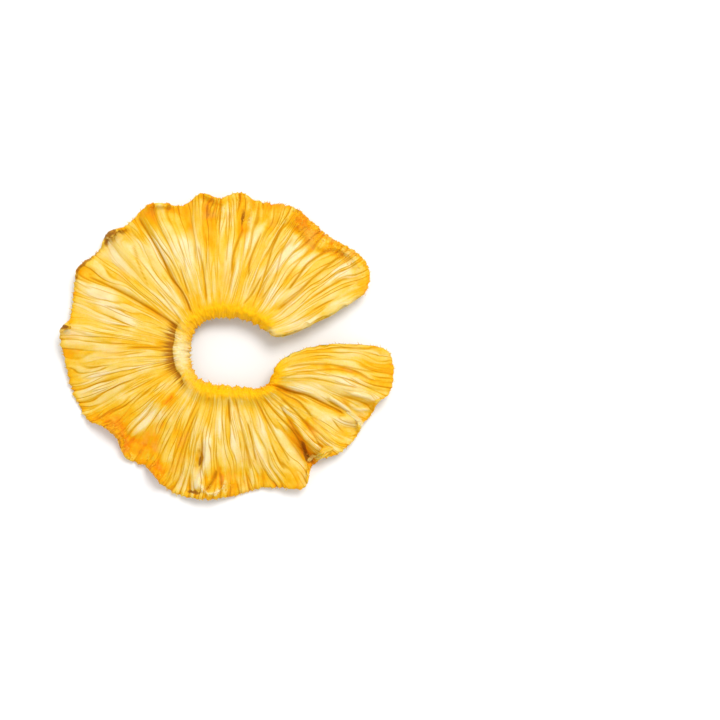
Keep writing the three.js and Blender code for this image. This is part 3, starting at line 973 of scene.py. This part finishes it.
def streak_share(half_width, stations, turn, out):
    """1 along the stations of a streak, fading to nothing about twice its half width off."""
    if stations[-1][0] < stations[0][0] + STREAK_FADE:
        along, across, fade = turn, out * AROUND_WIDTH, AROUND_FADE
        stations = [(t, o * AROUND_WIDTH) for o, t in stations]
    else:
        along, across, fade = out, np.radians(turn) * (HOLE_RADIUS + out * FLESH_WIDTH), STREAK_FADE
        stations = [(o, np.radians(t) * (HOLE_RADIUS + o * FLESH_WIDTH)) for o, t in stations]
    inside = smoothstep(along, stations[0][0] - fade, stations[0][0] + fade)
    inside = inside * (1 - smoothstep(along, stations[-1][0] - fade, stations[-1][0] + fade))
    return bell(across, through(stations, along), half_width) * inside


fold = np.zeros_like(turn)
for kind, strength, half_width, depth, stations in STREAKS:
    near = streak_share(half_width, stations, turn, out)
    tints[kind] = np.maximum(tints[kind], strength * near)
    fold -= depth * near
print("streaks:", len(STREAKS))

# %% The crevice behind the collar
CREVICE = [
    [135, 0], [150, 0.55], [165, 0.95], [178, 0.8], [192, 1.0], [205, 0.8], [218, 0.8], [228, 0.3],
    [236, 0],
]
CREVICE_OUT = 0.14
CREVICE_DEPTH = 1.5  # mm
CREVICE_HALF = 0.04
CREVICE_EDGE = 0.02
STAIN_AND_SHADE_FADE = 0.06

behind = np.maximum(through(CREVICE, turn), 0) * (turn > CREVICE[0][0]) * (turn < CREVICE[-1][0])
behind = behind * smoothstep(out, CREVICE_OUT - CREVICE_EDGE, CREVICE_OUT)
fold -= CREVICE_DEPTH * behind * bell(out, CREVICE_OUT, CREVICE_HALF)
# Brown streaks and painted shade, fading outwards from the crevice.
tints["crevice"] = behind * np.exp(-np.maximum(out - CREVICE_OUT - CREVICE_EDGE, 0) / STAIN_AND_SHADE_FADE)
print("crevice, share of the points:", round(float((behind > 0).mean()), 3))

# %% The swollen rim and its grains
SWELL = [  # turn, and how many mm juice has swollen the rim there
    [23.5, 0], [30, 0.2], [36, 0.8], [45, 1.0], [60, 1.0], [67, 0.5], [75, 0.2], [96, 0.4],
    [104, 0.2], [116, 0.4], [122, 0], [200, 0], [209, 0.6], [222, 0.8], [232, 0.4], [240, 0.6],
    [247, 0.1], [262, 0.5], [272, 0.4], [280, 0], [300, 0], [306, 0.5], [312, 0], [361.8, 0],
]
SWELL_FROM = [  # turn, and the share of the way out where the swelling starts
    [23.5, 0.88], [29, 0.88], [40, 0.92], [45.5, 0.9], [48, 0.856], [53, 0.844], [57.5, 0.856],
    [62.3, 0.87], [75, 0.83], [361.8, 0.83],
]
SWELL_STEP = 0.04
SWELL_AMBER = 0.7
SWELL_SINKS = 0.6  # the share of it that is lost again at the very edge
SWELL_SINKS_OUT = (0.95, 1.0)
# The amber and brown along the groove are painted shadow, cast by the edge of the swollen rim onto the
# flesh inside it.
GROOVE = {  # along the start of the swelling: strength, how far before it, and half width
    "fold": (-0.3, 0.01, 0.02), "amber": (0.9, 0, 0.025), "brown": (0.3, 0, 0.016),
}
GRAINY = [  # turn, and how thickly grains of dried juice cover the rim there
    [23.5, 0.3], [30, 0.5], [36, 1], [45, 1.2], [62, 1], [68, 0.5], [76, 0.3], [84, 0.5], [96, 0.5],
    [104, 0.3], [116, 0.5], [124, 0.1], [160, 0], [200, 0], [208, 0.6], [222, 0.8], [232, 0.4],
    [240, 0.6], [248, 0.2], [256, 0.4], [262, 0.8], [272, 0.8], [280, 0.3], [300, 0.3], [306, 0.8],
    [316, 0.3], [340, 0.2], [361.8, 0.3],
]
GRAINY_RIM = (0.84, 0.92)
GRAINY_COLLAR = (0.12, 0.07)
COLLAR_GRAINS = 0.25
PIT = [(82.5, 0.81, 2.4, 0.08, 0.8)]  # a patch of grains in a pit near the rim
# How much painted shade the hollows get:
HOLLOW_SHADE_CREASE = 0.5  # for each mm of depth
HOLLOW_SHADE_FOLD = 0.9

swell = np.maximum(through(SWELL, turn), 0)
swell_from = through(SWELL_FROM, turn)
swollen = smoothstep(out, swell_from, swell_from + SWELL_STEP)
groove = {
    name: strength * bell(out, swell_from - before, half)
    for name, (strength, before, half) in GROOVE.items()
}
fold += swell * swollen * (1 - SWELL_SINKS * smoothstep(out, *SWELL_SINKS_OUT))
fold += swell * groove["fold"]
# Amber of the swollen rim, and painted shadow along its groove.
tints["amber"] += swell * (SWELL_AMBER * swollen + groove["amber"])
tints["brown"] += np.clip(swell * 2 - 1, 0, 1) * groove["brown"]
tints["grainy"] = np.maximum(through(GRAINY, turn), 0) * smoothstep(out, *GRAINY_RIM)
tints["grainy"] += COLLAR_GRAINS * smoothstep(out, *GRAINY_COLLAR) + patches(PIT, turn, out)
# Painted shade: the hollows of deep creases and sunk folds get more juice, so they turn a deeper gold.
hollow_shade = HOLLOW_SHADE_CREASE * np.maximum(crease_depth(turn, out), 0) + HOLLOW_SHADE_FOLD * np.maximum(-fold, 0)
tints["hollow_shade"] = np.clip(hollow_shade, 0, 1)
for name, values in tints.items():
    store(sheet, name, values)
store(sheet, "fold", fold * MM)
print("folds, mm:", round(float(fold.min()), 1), "to", round(float(fold.max()), 1))

# %% [markdown]
# ## The flesh
# Dried flesh is one stuff whose colour depends on how much juice dried in it. So the patterns are
# first added up to one number, the juice, with painted shade added in creases, hollows and low
# lumps and painted light on the backs of the pleats, and a ramp turns it into cream, yellow, gold
# or amber. Then the painted shade of the creases, brown spots, some of them painted shadow, and
# the bright fluffy collar are blended over it, with painted shade in the crevice behind the
# collar. Light goes a little way into the flesh and comes out warmer, which a weak subsurface
# gives, and the finest wrinkles are left to a bump.

# %% What the colours are mixed from
KEPT = ("hollow_shade", "gold", "amber", "white", "brown", "grainy", "crevice", "calm")
FLESH_GROWS = {  # the share of the way out where each begins, and where it is whole
    "reach": (0.1, 0.65), "rim": (0.8, 1.0), "hole": (0.3, 0.1), "edge": (0.955, 0.995),
    "dark edge": (0.03, 0.0), "creased": (0.08, 0.14),
}
# The crease lines are painted shade: thin and brown in the valleys where the pleats fold deep.
CREASE_LINES = {  # half width in mm, slope for each degree, darkness near the hole, and more at the rim
    "wide": (0.28, 0.3, 0.32, 0.35), "narrow": (0.18, 0.9, 0.2, 0.35),
}
SIDE_REACH = {"wide": 0.1, "narrow": 0.12}  # how soon one side of a crease gives way to the other
BACK_RISES = (0.0, 0.3)
NARROW_BACK = 0.5
COLLAR_ENDS = (0.15, 0.07)
COLLAR_RAGGED = (0.12, 8.0)  # how far streaks move its end, in share of the way out and in degrees


def kept(board, name):
    """A number kept for each point of the mesh."""
    return board.add("ShaderNodeAttribute", {"attribute_name": name}, None, "Fac")


def flesh_patterns(board):
    """Every pattern that the colour and the relief of the flesh are mixed from, by its name."""
    turn, out = kept(board, "turn"), kept(board, "out")
    bent = bent_turn(board, turn, out)
    place = board.add("ShaderNodeTexCoord", None, None, "Object")
    p = {name: kept(board, name) for name in KEPT}
    p |= {name: speckle(board, name, place) for name in ("mottle", "clump", "speck", "tinge")}
    p |= {name: swing(board, name, turn, out) for name in ("cloud", "lump")}
    p |= {name: swing(board, name, bent, out) for name in ("streak", "fine")}
    p |= {name: board.ramp(out, *ends) for name, ends in FLESH_GROWS.items()}
    line = kept(board, "crease")
    for name, (half, steep, near, more) in CREASE_LINES.items():
        p[name] = wave(board, name, bent, out)
        p[name + " crisp"] = crispness(board, name, turn, out, p["calm"])
        p[name + " side"] = board.ramp(p[name], -SIDE_REACH[name], SIDE_REACH[name]) - 0.5
        p[name + " back"] = board.ramp(abs(p[name]), *BACK_RISES) * p[name + " crisp"]
        dark = crease_line(board, name, bent, out, half, steep) * p[name + " crisp"]
        line = line.most(dark * (p["reach"] * more + near))
    p["crease"] = line * p["creased"]
    p["back"] = p["wide back"] + p["narrow back"] * NARROW_BACK
    by_out, by_turn = COLLAR_RAGGED
    p["collar"] = board.ramp(out + p["streak"] * by_out, *COLLAR_ENDS)
    p["collar"] *= board.ramp(turn + p["streak"] * by_turn, *COLLAR_FADES)
    return p


print("kinds of creases:", len(CREASE_LINES))

# %% Add up the juice
JUICE = [  # how much juice dried here, and the colour that it gives
    (0.0, (0.85, 0.7, 0.37, 1)), (0.2, (0.83, 0.625, 0.22, 1)), (0.4, (0.82, 0.55, 0.09, 1)),
    (0.6, (0.81, 0.465, 0.019, 1)), (0.75, (0.815, 0.4, 0.002, 1)), (0.9, (0.86, 0.345, 0.002, 1)),
    (1.0, (0.79, 0.255, 0.002, 1)),
]
BASE_JUICE = 0.52
# The back, lump, crease and hollow entries paint light and shade into the juice: the backs of the pleats
# and high lumps paler, and the creases, hollows and low lumps deeper in colour.
JUICE_AND_SHADE_FROM = {  # what each pattern adds near the hole, and how much more it adds towards the rim
    "cloud": (0.46, 0.22), "lump": (-0.5, 0), "streak": (0.22, 0.04), "fine": (0.12, 0),
    "back": (-0.15, -0.08), "wide side": (0.16, 0), "narrow side": (0.12, 0), "crease": (0.3, 0),
    "hollow_shade": (0.3, 0), "speck": (0.2, 0), "rim": (0.08, 0), "hole": (0.08, 0), "edge": (0.12, 0),
}
MOTTLE_JUICE = 0.28
MOTTLE_GROWS = {"edge": 0.5, "grainy": 0.7}
RAGGED = {"mottle": 1.6, "streak": 1.2}  # what breaks up the patches
PATCH_JUICE = {"gold": 0.24, "amber": 0.27}
WHITE_JUICE = -0.24
# White patches are whiter on the backs of the pleats, as painted light, and yellower in the creases, as
# painted shade.
WHITE_BACK = -0.28
COLLAR_JUICE = 0.74
COLLAR_FROM = {"dark edge": 0.08, "white": -0.5, "clump": 0.5}
WET = 0.82  # the juice from which more of it darkens the flesh less
WET_SHARE = 0.45


def mixed(start, p, weights):
    """A start, and each of these patterns times its weight added to it."""
    for name, weight in weights.items():
        start = start + p[name] * weight
    return start


def juice_and_shade_of(p):
    """How much juice dried at a point, from its patterns, with painted light and shade from the relief."""
    juice = BASE_JUICE + p["mottle"] * mixed(MOTTLE_JUICE, p, MOTTLE_GROWS)
    for name, (near, more) in JUICE_AND_SHADE_FROM.items():
        juice = juice + p[name] * (p["reach"] * more + near if more else near)
    white = p["white"] * (p["back"] * WHITE_BACK + WHITE_JUICE)
    juice = juice + mixed(1, p, RAGGED) * mixed(white, p, PATCH_JUICE)
    juice = juice + (mixed(COLLAR_JUICE, p, COLLAR_FROM) - juice) * p["collar"]
    return juice.least(WET) + (juice - WET).most(0.0) * WET_SHARE


print("stops of the juice:", len(JUICE))

# %% Colours over the juice
BROWN_FLESH = (0.24, 0.075, 0.006, 1)
TAN_FLESH = (0.50, 0.20, 0.012, 1)
# The dark brown of the crevice's streaks and painted shade.
CREVICE_STAIN_AND_SHADE = (0.38, 0.13, 0.006, 1)
COLLAR_FLESH = (0.97, 0.50, 0.004, 1)
# The brown of the painted shade along the creases.
CREASE_SHADE_BROWN = (0.52, 0.225, 0.003, 1)
TINGES = [  # where the noise begins and ends to tinge the flesh, and the tone: peach, then lemon
    ((0.0, 0.25), (0.86, 0.52, 0.14, 1)), ((0.0, -0.25), (0.78, 0.53, 0.05, 1)),
]
TINGE = 0.35
COLLAR_BRIGHT = 0.9
COLLAR_DULLED = {"white": -0.8, "clump": 1}
TAN_RISES = (-0.15, 0.4)
BROWN_RISES = (0.3, 0.8)
BROWN_RAGGED = {"streak": 0.8, "mottle": 1.2}
STAIN_AND_SHADE_RISES = (0.2, 0.9)
STAIN_AND_SHADE_RAGGED = {"streak": 3.5, "crease": 1.2}
STAIN_AND_SHADE_MOST = 0.9


def flesh_colour(board, p):
    colour = board.stops(juice_and_shade_of(p), JUICE)
    for ends, tone in TINGES:
        colour = board.blend(board.ramp(p["tinge"], *ends) * TINGE, colour, tone)
    bright = mixed(COLLAR_BRIGHT, p, COLLAR_DULLED).most(0.0)
    colour = board.blend(p["collar"] * bright, colour, COLLAR_FLESH)
    # Painted shade along the creases.
    colour = board.blend(p["crease"], colour, CREASE_SHADE_BROWN)
    # Brown patches, some of which are painted shadow and shade.
    brown_tone = board.blend(board.ramp(p["mottle"] + p["streak"], *TAN_RISES), BROWN_FLESH, TAN_FLESH)
    brown = board.ramp(mixed(p["brown"], p, BROWN_RAGGED), *BROWN_RISES)
    colour = board.blend(brown * STAIN_AND_SHADE_MOST, colour, brown_tone)
    # The crevice: brown streaks and painted shade.
    stain_and_shade = board.ramp(p["crevice"] * mixed(1, p, STAIN_AND_SHADE_RAGGED), *STAIN_AND_SHADE_RISES)
    return board.blend(stain_and_shade * STAIN_AND_SHADE_MOST, colour, CREVICE_STAIN_AND_SHADE)


print("tinges over the juice:", len(TINGES))

# %% Relief and sheen
RELIEF_REACH = 0.2
RELIEF = {"wide": 0.3, "narrow": 0.5, "fine": 0.3, "clump": 0.8, "mottle": 0.3, "speck": 0.35}
COLLAR_SMOOTHS = 0.9
BUMP = {"Strength": 0.5, "Distance": 0.3 * MM}
ROUGHNESS = 0.495
ROUGHNESS_FINE = 0.25
FLESH_BODY = {
    "Subsurface Weight": 0.4, "Subsurface Radius": (1.0, 0.6, 0.2), "Subsurface Scale": 0.5 * MM,
    "Specular IOR Level": 0.06,
}


def flesh_relief(board, p):
    """The finest wrinkles, which only the bump shows."""
    relief = (p["fine"] + 0.5) * RELIEF["fine"]
    for name in ("wide", "narrow"):
        back = dome(board, abs(p[name]), RELIEF_REACH)
        relief = relief + back * p[name + " crisp"] * RELIEF[name]
    relief = relief * (1 - p["collar"] * COLLAR_SMOOTHS) + p["clump"] * p["collar"] * RELIEF["clump"]
    return relief + p["mottle"] * RELIEF["mottle"] + p["speck"] * RELIEF["speck"]


def new_material(name, body):
    """A material, its board and its shader's sockets, with what is the same all over already set."""
    material = bpy.data.materials.new(name)
    material.use_nodes = True
    shader = material.node_tree.nodes["Principled BSDF"].inputs
    for socket, value in body.items():
        shader[socket].default_value = value
    return material, Board(material.node_tree), shader


def flesh_material():
    material, board, shader = new_material("Dried pineapple flesh", FLESH_BODY)
    p = flesh_patterns(board)
    board.feed(shader["Base Color"], flesh_colour(board, p))
    bump = board.add("ShaderNodeBump", None, {"Height": flesh_relief(board, p), **BUMP})
    board.feed(shader["Normal"], bump)
    board.feed(shader["Roughness"], ROUGHNESS - p["fine"] * ROUGHNESS_FINE)
    return material


flesh = flesh_material()
print("nodes that colour the flesh:", len(flesh.node_tree.nodes))

# %% Shape the flesh
PLEAT_SIZES = {
    "Wide depth": 0.40 * MM, "Narrow depth": 0.24 * MM, "Fibre depth": 0.16 * MM, "Lump": 0.9 * MM,
    "Lean": 0.6 * MM, "Frill": 1.3 * MM, "Fray": 2.2 * MM, "Tooth": 2.3 * MM, "Clump": 2.2 * MM,
    "Grain": 0.4 * MM, "Least": 0.4 * MM, "Material": flesh,
}
ring.data = settle(ring, pleats, PLEAT_SIZES, "ring.flesh")
triangles = sum(len(face.vertices) - 2 for face in ring.data.polygons)
print("flesh:", len(ring.data.vertices), "points,", triangles, "triangles")

# %% [markdown]
# ## Torn scraps
# A few scraps hang at the lower rim, torn loose at one end and curled as they dried: one on the
# flap under the tear, and a small tangle beside the hollow in the rim. Each is a strip swept along
# stations over the flesh, hollow like a gutter, thin at its ends, and closed underneath. They
# share the flesh's material, so they carry the same numbers.

# %% Stations of the scraps
SCRAPS = [  # width in mm, whiteness, then turn, share of the way out and lift in mm of its stations
    (1.1, 0.15, [(333.2, 0.78, 0.0), (332.4, 0.86, 0.5), (331.8, 0.93, 0.8), (331.7, 1.0, 0.5)]),
    (1.5, 0.15, [(310.4, 0.92, 0.7), (313, 0.915, 1.5), (315.8, 0.925, 1.7), (317.6, 0.945, 1.0)]),
    (1.3, 0.15, [(309, 0.975, 0.5), (311.4, 0.955, 1.3), (314, 0.965, 1.7), (316.6, 0.965, 1.3)]),
    (1.0, 0.15, [(305.8, 0.955, 0.4), (307.8, 0.95, 1.1), (310.2, 0.935, 1.3)]),
    (0.9, 0.15, [(311, 1.0, 0.6), (313, 0.99, 1.1), (315.4, 0.985, 0.9)]),
]
SCRAP_THICKNESS = 0.5  # mm
SCRAP_EDGES = 0.6  # the share by which its edges are thinner
SCRAP_GUTTER = 0.4  # mm that its edges stand above its middle
SCRAP_TAPER = 2.2
SCRAP_TIP = 0.03
SCRAP_STEPS = 28
SCRAP_ROWS = 7
SCRAP_WRINKLE = 0.04
SCRAP_TURN = 4.6  # degrees of pleats to each mm of width
SCRAP_OUT = (0.4, 0.65)  # where on the flesh its colours come from
SCRAP_SEED = 12
print("scraps to sweep:", len(SCRAPS))


# %% Sweep a scrap
def scrap_faces(steps, rows):
    """A closed tube of faces over rings that run along the top and back along the bottom."""
    around = 2 * rows
    ids = np.arange(steps * around).reshape(steps, around)
    after = np.roll(ids, -1, axis=1)
    tube = np.stack([ids[:-1], ids[1:], after[1:], after[:-1]], -1).reshape(-1, 4)
    return tube.tolist() + [ids[0].tolist(), ids[-1][::-1].tolist()]


def scrap_rings(width, stations, chance):
    """The rings of a strip in mm, one row for each step along it."""
    step = np.linspace(0, len(stations) - 1, SCRAP_STEPS)
    at_turn, at_out, lift = (through(list(enumerate(column)), step) for column in zip(*stations))
    middle = skin(at_turn, np.clip(at_out, 0, 1), 1)[0] + to_frame
    middle[:, 2] += lift
    along = unit(np.gradient(middle, axis=0))
    across = unit(np.cross(along, [0, 0, 1]))
    over = np.cross(across, along)
    from_middle = np.abs(2 * step / (len(stations) - 1) - 1)
    taper = np.sqrt(np.clip(1 - from_middle**SCRAP_TAPER, SCRAP_TIP, 1))[:, None]
    rows = np.linspace(-1, 1, SCRAP_ROWS)
    wrinkle = SCRAP_WRINKLE * np.cumsum(chance.normal(size=(SCRAP_STEPS, SCRAP_ROWS)), 0)
    wrinkle -= np.linspace(0, 1, SCRAP_STEPS)[:, None] * wrinkle[-1]
    rise = SCRAP_GUTTER * rows**2 * taper + wrinkle
    depth = SCRAP_THICKNESS * (1 - SCRAP_EDGES * rows**2) * taper
    top = middle[:, None] + across[:, None] * (rows * width / 2 * taper)[..., None]
    top = top + over[:, None] * rise[..., None]
    bottom = top - over[:, None] * depth[..., None]
    return np.concatenate([top, bottom[:, ::-1]], 1), at_turn[0]


# %% Hang the scraps
chance = np.random.default_rng(SCRAP_SEED)
around = 2 * SCRAP_ROWS
scrap_points, scrap_quads, scrap_turn, scrap_white = [], [], [], []
for width, whiteness, stations in SCRAPS:
    rings, first_turn = scrap_rings(width, stations, chance)
    first = len(scrap_points) * SCRAP_STEPS * around
    scrap_quads += [[first + k for k in face] for face in scrap_faces(SCRAP_STEPS, SCRAP_ROWS)]
    scrap_points.append(rings.reshape(-1, 3))
    scrap_turn.append(np.tile(first_turn + np.linspace(0, SCRAP_TURN * width, around), SCRAP_STEPS))
    scrap_white.append(np.full(SCRAP_STEPS * around, whiteness))

scrap_out = np.tile(np.repeat(np.linspace(*SCRAP_OUT, SCRAP_STEPS), around), len(SCRAPS))
scrap_mesh = bpy.data.meshes.new("ring.scraps")
scrap_mesh.from_pydata((np.concatenate(scrap_points) * MM).tolist(), [], scrap_quads)
scrap_mesh.polygons.foreach_set("use_smooth", np.ones(len(scrap_mesh.polygons), bool))
scrap_mesh.materials.append(flesh)
store(scrap_mesh, "turn", np.concatenate(scrap_turn))
store(scrap_mesh, "out", scrap_out)
store(scrap_mesh, "white", np.concatenate(scrap_white))
scraps = add_object("ring.scraps", scrap_mesh)
print("scraps:", len(scrap_mesh.polygons), "faces")

# %% [markdown]
# ## Fibre ends
# Fibres are tougher than the flesh between them, so their ends stick out of every edge like
# short bent bristles. One bristle is repeated on points of the edges, each with its own length
# and lean. The points pass on what they know of the flesh, so each bristle has its colour.

# %% Where the fibres end
RIM_SHARE = 0.4  # of the points of the rim that have a bristle
HOLE_SHARE = 0.06
LIP_SHARE = 1.0

tip = np.zeros((len(turn), 3))
bristly = np.zeros(len(turn))
for at_edge, way, edge_bristles in (
    (out == 1, run, RIM_SHARE), (out == 0, -run, HOLE_SHARE),
    (turn == UPPER_LIP, -side, LIP_SHARE), (turn == LOWER_LIP, side, LIP_SHARE),
):
    tip[at_edge] = way[at_edge]
    bristly[at_edge] = edge_bristles
bristly[upper_turn.size:] = 0
store(ring.data, "tip", tip)
store(ring.data, "share", bristly)
print("points that may have a bristle:", int((bristly > 0).sum()))

# %% Bristles
SPINE = {"Resolution": 3, "Start": (0, 0, -0.3), "Middle": (0, 0, 0.5), "End": (0.4, 0, 1)}
SIDES = 4
POINTED = 0.8
PICK_SEED, STRAY_SEED, ROLL_SEED, LENGTH_SEED = 3, 5, 8, 13
LEAST_CHANCE = 0.001  # so that a point whose share is 0 is never picked


def random(board, low, high, seed, kind="FLOAT"):
    low_at, high_at, output = (2, 3, 1) if kind == "FLOAT" else (0, 1, 0)
    ends = {low_at: low, high_at: high, "Seed": seed}
    return board.add("FunctionNodeRandomValue", {"data_type": kind}, ends, output)


def often_small(board, smallest, largest, seed):
    """A random size between two, and more often a small one."""
    chance = random(board, 0.0, 1.0, seed)
    return smallest + chance * chance * (largest - smallest)


def planted(board, points, shape, rotation, scale, material):
    """Ends a group: a shape on every point, turned and scaled, and none of it below the table."""
    place = {"Points": points, "Instance": shape, "Rotation": rotation, "Scale": scale}
    shapes = board.add("GeometryNodeInstanceOnPoints", None, place)
    shapes = board.add("GeometryNodeRealizeInstances", None, {"Geometry": shapes})
    shapes = kept_above(board, shapes, board.add("GeometryNodeInputPosition"), 0.0)
    return hand_over(board, shapes, material)


def bristle_shape(board, thickness):
    spine = board.add("GeometryNodeCurveQuadraticBezier", None, SPINE)
    rod = {"Resolution": SIDES, "Radius": thickness}
    rod = board.add("GeometryNodeCurvePrimitiveCircle", None, rod)
    taper = 1 - board.add("GeometryNodeSplineParameter") * POINTED
    sweep = {"Curve": spine, "Profile Curve": rod, "Scale": taper, "Fill Caps": True}
    return board.add("GeometryNodeCurveToMesh", None, sweep)


def bristles_group():
    board, size = group_with("Fibre ends", ("Longest", "Shortest", "Thickness", "Stray"))
    share = named(board, "share")
    picked = share.maths("GREATER_THAN", share, random(board, LEAST_CHANCE, 1.0, PICK_SEED))
    ends = {"Mesh": size["Geometry"], "Selection": picked}
    ends = board.add("GeometryNodeMeshToPoints", None, ends)
    astray = random(board, (-1, -1, -1), (1, 1, 1), STRAY_SEED, "FLOAT_VECTOR")
    towards = board.joined(named(board, "tip", "FLOAT_VECTOR"), board.scaled(astray, size["Stray"]))
    turned = board.add("FunctionNodeAlignRotationToVector", {"axis": "Z"}, {"Vector": towards})
    about = board.vector(0.0, 0.0, random(board, 0.0, math.tau, ROLL_SEED))
    about = board.add("FunctionNodeEulerToRotation", None, {"Euler": about})
    turned = {"Rotation": turned, "Rotate By": about}
    turned = board.add("FunctionNodeRotateRotation", {"rotation_space": "LOCAL"}, turned)
    long = often_small(board, size["Shortest"], size["Longest"], LENGTH_SEED)
    bristle = bristle_shape(board, size["Thickness"])
    return planted(board, ends, bristle, turned, board.vector(long, long, long), size["Material"])


BRISTLE_SIZES = {
    "Longest": 0.8 * MM, "Shortest": 0.3 * MM, "Thickness": 0.16, "Stray": 0.8, "Material": flesh,
}
bristles = settle(ring, bristles_group(), BRISTLE_SIZES, "ring.fibre_ends")
bristles = add_object("ring.fibre_ends", bristles)
print("fibre ends:", len(bristles.data.polygons), "faces")

# %% [markdown]
# ## Grains of dried juice
# Where juice stood it dried to small clear grains: on the swollen parts of the rim, in a pit near
# it and on the collar. They are strewn over the flesh as thickly as each point says. Their glassy
# amber is a noise between two tones, with a sharper gloss than the flesh has.

# %% Juice that dried to grains
GRAIN_DARK = (0.74, 0.33, 0.004, 1)
GRAIN_LIGHT = (0.84, 0.51, 0.05, 1)
GRAIN_TONE = (900.0, 2.0)  # cells to the metre, and detail
GRAIN_TONE_RAMP = (0.4, 0.62)
GRAIN_ROUGHNESS = (0.25, 0.3)
GRAIN_BODY = {
    "Subsurface Weight": 0.2, "Subsurface Radius": (1.0, 0.5, 0.1), "Subsurface Scale": 0.3 * MM,
    "Specular IOR Level": 0.06,
}


def grain_material():
    material, board, shader = new_material("Dried juice", GRAIN_BODY)
    place = board.add("ShaderNodeTexCoord", None, None, "Object")
    tone = board.noise(place, *GRAIN_TONE, flat=False)
    light = board.ramp(tone, *GRAIN_TONE_RAMP)
    board.feed(shader["Base Color"], board.blend(light, GRAIN_DARK, GRAIN_LIGHT))
    board.feed(shader["Roughness"], GRAIN_ROUGHNESS[0] + tone * GRAIN_ROUGHNESS[1])
    return material


dried_juice = grain_material()
print("nodes of the juice:", len(dried_juice.node_tree.nodes))

# %% Strew the grains
BARE_BELOW = 0.3  # no grains where a point's number is lower
GRAIN_GAIN = 1.4
STREW_SEED, TURN_SEED, SIZE_SEED, STRETCH_SEED = 4, 21, 34, 55
FULL_ROLL = (6, 6, 6)  # radians, about a full turn each way
GRAIN_STRETCH = (0.7, 1.4)


def grains_group():
    board, size = group_with("Strewn grains", ("Density", "Smallest", "Largest"))
    thickly = (named(board, "grainy") - BARE_BELOW).most(0.0) * GRAIN_GAIN * size["Density"]
    spots = {"Mesh": size["Geometry"], "Density": thickly, "Seed": STREW_SEED}
    spots = board.add("GeometryNodeDistributePointsOnFaces", None, spots)
    grain = board.add("GeometryNodeMeshIcoSphere", None, {"Radius": 1.0, "Subdivisions": 1})
    about = random(board, (0, 0, 0), FULL_ROLL, TURN_SEED, "FLOAT_VECTOR")
    about = board.add("FunctionNodeEulerToRotation", None, {"Euler": about})
    big = often_small(board, size["Smallest"], size["Largest"], SIZE_SEED)
    wide = big * random(board, *GRAIN_STRETCH, STRETCH_SEED)
    return planted(board, spots, grain, about, board.vector(wide, big, big), size["Material"])


GRAIN_SIZES = {
    "Density": 4.0 / MM**2, "Smallest": 0.07 * MM, "Largest": 0.22 * MM, "Material": dried_juice,
}
grains = settle(ring, grains_group(), GRAIN_SIZES, "ring.juice_grains")
grains = add_object("ring.juice_grains", grains)
print("grains:", len(grains.data.polygons), "faces")

# %% [markdown]
# ## The table
# The table is only there to take the shadow, and isn't part of the ring. A flat white square is
# enough, with a little unevenness in its white.

# %% Table
TABLE_SIDE = 3000 * MM
TABLE_GREY = (0.9, 0.9, 0.9, 1)
TABLE_WHITE = (0.92, 0.92, 0.92, 1)
TABLE_MOTTLE = (3.0, 2.0)  # cells to the metre, and detail
TABLE_BODY = {"Roughness": 0.9}


def table_material():
    material, board, shader = new_material("White table", TABLE_BODY)
    place = board.add("ShaderNodeTexCoord", None, None, "Object")
    mottle = board.noise(place, *TABLE_MOTTLE, flat=False)
    board.feed(shader["Base Color"], board.blend(mottle, TABLE_GREY, TABLE_WHITE))
    return material


reach = TABLE_SIDE / 2
corners = [(-reach, -reach, 0), (reach, -reach, 0), (reach, reach, 0), (-reach, reach, 0)]
table_mesh = bpy.data.meshes.new("table")
table_mesh.from_pydata(corners, [], [(0, 1, 2, 3)])
table_mesh.materials.append(table_material())
table = add_object("table", table_mesh)
print("table, mm:", round(TABLE_SIDE / MM))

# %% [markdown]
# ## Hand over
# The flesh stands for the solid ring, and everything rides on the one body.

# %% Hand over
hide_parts("ring")
for piece in (ring, scraps, bristles, grains):
    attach(piece, "root")
